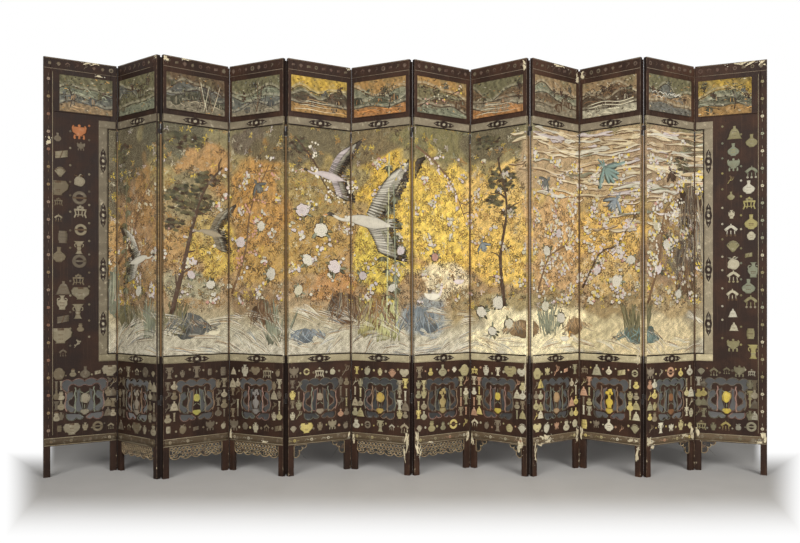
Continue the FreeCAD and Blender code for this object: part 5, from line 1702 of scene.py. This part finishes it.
CHIP_RINGS = ((1.0, 0.0, 0.6), (0.86, 0.8, 1.0), (0.5, 0.7, 0.9))


def losses(sheet, leaf):
    """The ragged patches of bare ground on one leaf, each of six chips, and crumbs about them."""
    draw = luck(leaf, 121)
    for k, (where, u, z, wide, tall) in enumerate(LOSSES):
        if where != leaf:
            continue
        shares = draw.uniform(-0.75, 0.75, (2, 6))
        for chip in range(6):
            form = rosette(ragged(26, 0.22, 200 + 6 * k + chip), CHIP_RINGS, (0.8, 0.94))
            size = draw.uniform(0.30, 0.62)
            sheet.press(form, u + shares[0, chip] * wide, z + shares[1, chip] * tall,
                        pigment(206, 192, 158) * draw.uniform(0.7, 1.05),
                        (max(wide * size, 0.003), max(tall * size, 0.003)), draw.uniform(-0.5, 0.5),
                        1 + 0.8 * chip, 3)
        crumb = draw.uniform(-1.6, 1.6, (2, 7))
        sheet.press(DISC, u + crumb[0] * wide, z + crumb[1] * tall, GESSO * 0.9,
                    draw.uniform(0.0012, 0.0035, (7, 2)), draw.uniform(0, 3, 7), 2, 4)


# The pieces of every leaf.

ground_paint = painted("scene_ground", 0.3, 0.5, 1.0)
leaf_paint = painted("scene_paint", 0.2, 0.35)
relief_paint = painted("ornament_paint", 0.3, 0.6)
band_paint = brocade("band_paint")
line_paint = painted("line_paint", 0.5, 0.2, pale=0.0)
gilt = gilded("apron_gilding")
hinge_finish = iron("hinge_iron")
loss_finish = gesso("bare_ground")

# Path (leaves, height), width, paint, number of twigs, seed and buds of every bough.
BOUGHS = (
    (((1.02, 1.38), (1.35, 1.52), (1.62, 1.78), (1.95, 1.92)), 0.022, BARK, 7, 2, CREAM),
    (((2.12, 1.05), (2.30, 1.36), (2.44, 1.62), (2.62, 1.86), (2.90, 2.02)), 0.034, SOIL, 8, 3),
    (((3.05, 1.18), (3.30, 1.45), (3.42, 1.75), (3.75, 2.02)), 0.020, BARK, 9, 4, ROSE),
    (((4.10, 2.20), (4.40, 2.05), (4.62, 1.88), (4.96, 1.84)), 0.016, SOIL, 7, 5, WHITE),
    (((6.02, 2.14), (6.35, 2.05), (6.68, 1.90), (6.92, 1.68)), 0.018, BARK, 8, 6, BLUSH),
    (((7.62, 1.10), (7.55, 1.42), (7.66, 1.75), (7.50, 2.08)), 0.030, SOIL, 8, 7),
    (((8.10, 1.20), (8.34, 1.42), (8.72, 1.52), (8.96, 1.74)), 0.018, BARK, 8, 8, WHITE),
    (((9.05, 1.22), (9.35, 1.45), (9.62, 1.50), (9.95, 1.70)), 0.018, SOIL, 9, 9, BLUSH),
    (((10.02, 1.12), (10.26, 1.40), (10.36, 1.70), (10.62, 1.82)), 0.022, BARK, 8, 10, WHITE),
)
# Middle (leaves, height), reach across and up, and seed of every crown of needles.
PINES = (
    (2.38, 1.78, 0.32, 0.20, 1), (2.16, 1.62, 0.12, 0.09, 2), (2.66, 1.92, 0.16, 0.11, 3),
    (2.30, 2.16, 0.26, 0.10, 4), (7.58, 1.92, 0.20, 0.17, 5), (7.45, 1.78, 0.13, 0.09, 6),
    (7.70, 1.72, 0.11, 0.08, 7), (7.34, 2.18, 0.24, 0.09, 8), (4.16, 2.14, 0.14, 0.10, 9),
    (10.72, 2.02, 0.14, 0.12, 10), (1.16, 2.10, 0.16, 0.12, 11),
)
# Foot (leaves, height), width, height, paint and seed of every rock.
ROCKS = (
    (2.34, 1.00, 0.34, 0.20, SLATE, 1), (3.62, 1.06, 0.20, 0.24, BARK, 2),
    (4.92, 1.10, 0.26, 0.30, BARK, 3), (5.42, 1.06, 0.28, 0.24, pigment(146, 112, 74), 4),
    (6.12, 1.02, 0.26, 0.26, BLUE, 5), (1.30, 1.06, 0.26, 0.20, OLIVE, 6),
    (7.86, 0.96, 0.22, 0.14, TAN, 7), (8.92, 0.98, 0.24, 0.15, TAN, 8),
    (9.90, 0.92, 0.26, 0.14, TEAL, 9), (10.86, 1.74, 0.13, 0.40, SOIL, 10),
    (10.80, 1.30, 0.16, 0.36, BARK, 11), (4.30, 0.92, 0.24, 0.13, BLUE, 12),
    (10.97, 1.78, 0.14, 0.62, SOIL, 15), (10.88, 1.46, 0.20, 0.40, pigment(96, 84, 72), 16),
    (11.08, 1.62, 0.07, 0.60, GREIGE, 13), (0.94, 1.20, 0.10, 0.40, SAGE, 14),
)
# Middle (leaves, height), size, turn and paint of every swallow.
SWALLOWS = (
    (9.42, 2.02, 0.15, 0.7, TEAL), (9.62, 1.80, 0.10, -0.6, BLUE), (7.22, 1.52, 0.07, 0.4, BLUE),
    (3.52, 1.90, 0.08, 0.6, SLATE), (8.30, 1.92, 0.08, -0.8, SLATE), (10.5, 1.98, 0.08, 0.5, SOIL),
)

garden, foliage, bloom, birds = Garden(), Garden(), Garden(), Garden()
for bough in BOUGHS:
    branch(garden, *bough)
for crown in PINES:
    pine(garden, *crown)
for stone in ROCKS:
    rock(garden, *stone)
bamboo(garden, foliage, 5.62, 1.00, 2.05, 0.04, 1, pigment(190, 186, 140))
bamboo(garden, foliage, 5.78, 1.05, 1.90, -0.05, 2, SAGE)
bamboo(garden, foliage, 1.22, 1.05, 1.95, 0.03, 3, OLIVE)
leafage(foliage)
clouds(garden)
water(garden)
grasses(garden)
blossoms(bloom)
peonies(bloom, foliage)
goose(birds, 5.30, 1.66, 0.31, -1, WHITE * 0.8, 1)
goose(birds, 4.66, 1.96, 0.19, -1, BLUSH * 0.75, 2)
goose(birds, 1.56, 1.40, 0.18, 1, WHITE * 0.85, 3)
goose(birds, 2.72, 1.58, 0.15, -1, GREIGE, 4)
duck(birds, 6.34, 1.16, 0.085, 1, WHITE, BLUSH, 4)
duck(birds, 6.78, 1.26, 0.060, -1, BLUSH, BARK, 5)
duck(birds, 2.75, 0.92, 0.060, -1, CREAM, SLATE, 6)
duck(birds, 8.70, 0.88, 0.060, 1, WHITE, OCHRE, 7)
for swallow_place in SWALLOWS:
    swallow(birds, *swallow_place)
garden.finish("garden", leaf_paint, "painted_boards")
foliage.finish("foliage", leaf_paint, "painted_boards")
bloom.finish("blossom", relief_paint, "painted_boards")
birds.finish("birds", leaf_paint, "painted_boards")

for leaf in LEAVES:
    number = f"{leaf + 1:02d}"
    old_lacquer = lacquer(f"lacquer_{number}", leaf)
    for kind, material in (("frame", old_lacquer), ("panels", old_lacquer), ("hinges", hinge_finish)):
        for slot in frame["nodes"][f"{kind}_{number}"].material_slots:
            slot.material = material

    ground = Inlay(leaf)
    ground.lay(*scene_reach(leaf), SCENE_FOOT, SCENE_TOP, 3, GROUND_PITCH,
               lambda u, z: wash(leaf * LEAF_WIDTH + u, z))
    ground.finish(f"ground_{number}", ground_paint, "painted_boards")
    trims = ("band", band_paint), ("lines", line_paint), ("cartouches", relief_paint)
    for sheet, (name, material) in zip(bands(leaf), trims):
        sheet.finish(f"{name}_{number}", material, "painted_boards")

    # Where two leaves meet towards the viewer, the paint runs over the corner onto both edges, and grows
    # darker further into the gap: painted shade.
    side = 1 if leaf % 2 else -1
    if 0 < leaf + (side > 0) <= LAST:
        corner = Inlay(leaf)
        start, end = sorted((0.0, side * WRAP))
        strip_end = leaf * LEAF_WIDTH + (LEAF_WIDTH if side > 0 else 0)
        def carried_over_shaded(d, z):
            # Painted shade: the carried paint darkens with the depth into the gap between the leaves.
            return wash(np.full(len(d), strip_end), z) * (0.98 - 0.3 * np.abs(d) / WRAP)[:, None]
        corner.lay(start, end, LINE_FOOT, LINE_TOP, 2, GROUND_PITCH, carried_over_shaded)
        for z0, z1 in ((LINE_TOP, BAND_TOP - HAIR), (BAND_FOOT + HAIR, LINE_FOOT)):
            corner.lay(start, end, z0, z1, 2, GROUND_PITCH, plain(GREIGE * 0.7))
        corner.fold(side)
        corner.finish(f"corner_{number}", ground_paint, "painted_boards")

    field = field_reach(leaf)
    lower = Inlay(leaf, (*field, BASE_TOP, SEAM))
    lower_field(lower, leaf)
    lower.finish(f"antiques_{number}", relief_paint, "pierced_boards")
    if leaf in (FIRST, LAST):
        tall = Inlay(leaf, (*field, SEAM, NECK_FOOT))
        tall_field(tall, leaf)
        tall.finish(f"side_antiques_{number}", relief_paint, "painted_boards")
    trim = Inlay(leaf, (MARGIN, LEAF_WIDTH - MARGIN, BASE_FOOT, TOP - MARGIN))
    flowers(trim, leaf)
    trim.finish(f"flowers_{number}", relief_paint, "lacquered_frame")

    view = Inlay(leaf)
    landscape(view, leaf)
    view.finish(f"landscape_{number}", leaf_paint, "painted_boards")

    outlines, place = fret_outlines(leaf)
    pierced = sawn(leaf, outlines, 0.0, BOARD, FRET_BEVEL)
    board = carried(f"fret_{number}", pierced, leaf, old_lacquer, "pierced_boards")
    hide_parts(f"openwork_{number}")
    carving = Inlay(leaf)
    carve_fret(carving, leaf, outlines[1:], place)
    carving.finish(f"scrolls_{number}", relief_paint, "pierced_boards")

    groups = []
    if leaf in WHOLE_APRONS:
        groups = [whole_apron(leaf)]
    elif leaf in BROKEN_APRONS:
        groups = [[outline] for outline in brackets(BROKEN_APRONS[leaf])]
    for k, outlines in enumerate(groups):
        part = "" if len(groups) == 1 else "ab"[k]
        lobes = sawn(leaf, outlines, APRON_SETBACK, APRON_THICKNESS, APRON_BEVEL)
        carved = carried(f"apron{part}_carved_{number}", lobes, leaf, gilt, "gilded_aprons")
        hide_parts(f"apron_{number}")
    if groups:
        beads = Inlay(leaf)
        for outlines in groups:
            carve_apron(beads, outlines, leaf)
        beads.finish(f"apron_beads_{number}", gilt, "gilded_aprons")
    worn = Inlay(leaf, (LOSS_MARGIN, LEAF_WIDTH - LOSS_MARGIN, 0.01, TOP - 0.0005))
    losses(worn, leaf)
    if worn.places:
        worn.finish(f"losses_{number}", loss_finish, "lacquered_frame")


# Floor, light and camera.

# The eye from which the photograph was taken: to the right of the first leaf's front corner, before it,
# and over the floor.
EYE_ASIDE, EYE_BEFORE, EYE_HEIGHT = 2.441, 5.154, 1.173
EYE = (PLACES[FIRST][0][0] + EYE_ASIDE, PLACES[FIRST][0][1] - EYE_BEFORE, EYE_HEIGHT)
# Lens: width of the sensor and focal length in millimetres, and the shift as shares of the width.
SENSOR, FOCAL, SHIFT_X, SHIFT_Y = 36.0, 36.27, -0.0316, 0.029
ROOM_LIGHT = 0.045


def white_where_seen(finish, share=1.0):
    """A share of one for what the camera, a mirror or a glass looks at, and none for the light itself."""
    rays = finish.tree.nodes.new("ShaderNodeLightPath")
    seen = [Value(finish, rays.outputs[f"Is {kind} Ray"]) for kind in ("Camera", "Glossy", "Transmission")]
    return seen[0].of("MAXIMUM", seen[1]).of("MAXIMUM", seen[2]) * share


def floor_finish():
    """A pale matt floor that brightens to white away from the screen, so that it has no far edge."""
    finish = Finish("floor")
    here = finish.place()
    mottle = finish.noise(here, 3.0)
    across, back, _ = finish.parts(here)
    # How far a place lies to the side of the picture's middle, for every metre before the eye.
    fan = ((across - EYE[0]) / (back - EYE[1]).of("MAXIMUM", 2.0) + 0.026).of("ABSOLUTE")
    aside = fan.step(0.448, 0.50).of("MAXIMUM", fan.step(0.432, 0.449) * back.step(-0.1, 0.8))
    before = (back * -1.0).step(0.5, 1.5)
    glow = white_where_seen(finish, aside.of("MAXIMUM", before).of("MAXIMUM", back.step(7.0, 12.0)))
    finish.colour = finish.mix(pigment(190, 187, 182), pigment(202, 199, 195), mottle)
    finish.stain(BLACK, glow)
    finish.feed(finish.shader.inputs["Emission Color"], finish.mix(BLACK, np.ones(3), glow))
    return finish.done(mottle * 0.1 + 0.8, Emission_Strength=1.0, Specular_IOR_Level=0.1)


bpy.ops.mesh.primitive_plane_add(size=60, location=(0, 0, 0))
floor = bpy.context.object
floor.name = "floor"
floor.data.materials.append(floor_finish())

world_light = bpy.data.worlds.new("studio")
bpy.context.scene.world = world_light
sky = Finish("studio", world_light)
sky.feed(sky.shader.inputs["Color"], sky.mix((ROOM_LIGHT,) * 3, (1.0, 1.0, 1.0), white_where_seen(sky)))


def soft_light(name, place, target, size, power, spread=180.0):
    """A square area light at a place, turned towards a target, with a grid that narrows its spread."""
    lamp = bpy.data.lights.new(name, "AREA")
    lamp.size, lamp.energy, lamp.spread = size, power, math.radians(spread)
    holder = bpy.data.objects.new(name, lamp)
    holder.location = place
    holder.rotation_euler = (Vector(target) - Vector(place)).to_track_quat("-Z", "Y").to_euler()
    bpy.context.scene.collection.objects.link(holder)


soft_light("key", (-2.6, -6.4, 3.2), (-0.6, 0, 1.3), 3.4, 330)
soft_light("fill", (3.2, -6.2, 3.0), (0.9, 0, 1.3), 3.4, 440)
soft_light("back", (0.0, 7.5, 2.9), (0, 0, 2.7), 2.6, 60, 26.0)

lens = bpy.data.cameras.new("camera")
lens.sensor_width, lens.lens, lens.shift_x, lens.shift_y = SENSOR, FOCAL, SHIFT_X, SHIFT_Y
camera = bpy.data.objects.new("camera", lens)
camera.location = EYE
camera.rotation_euler = (math.pi / 2, 0, 0)
bpy.context.scene.collection.objects.link(camera)
bpy.context.scene.camera = camera
bpy.context.scene.view_settings.view_transform = "Standard"
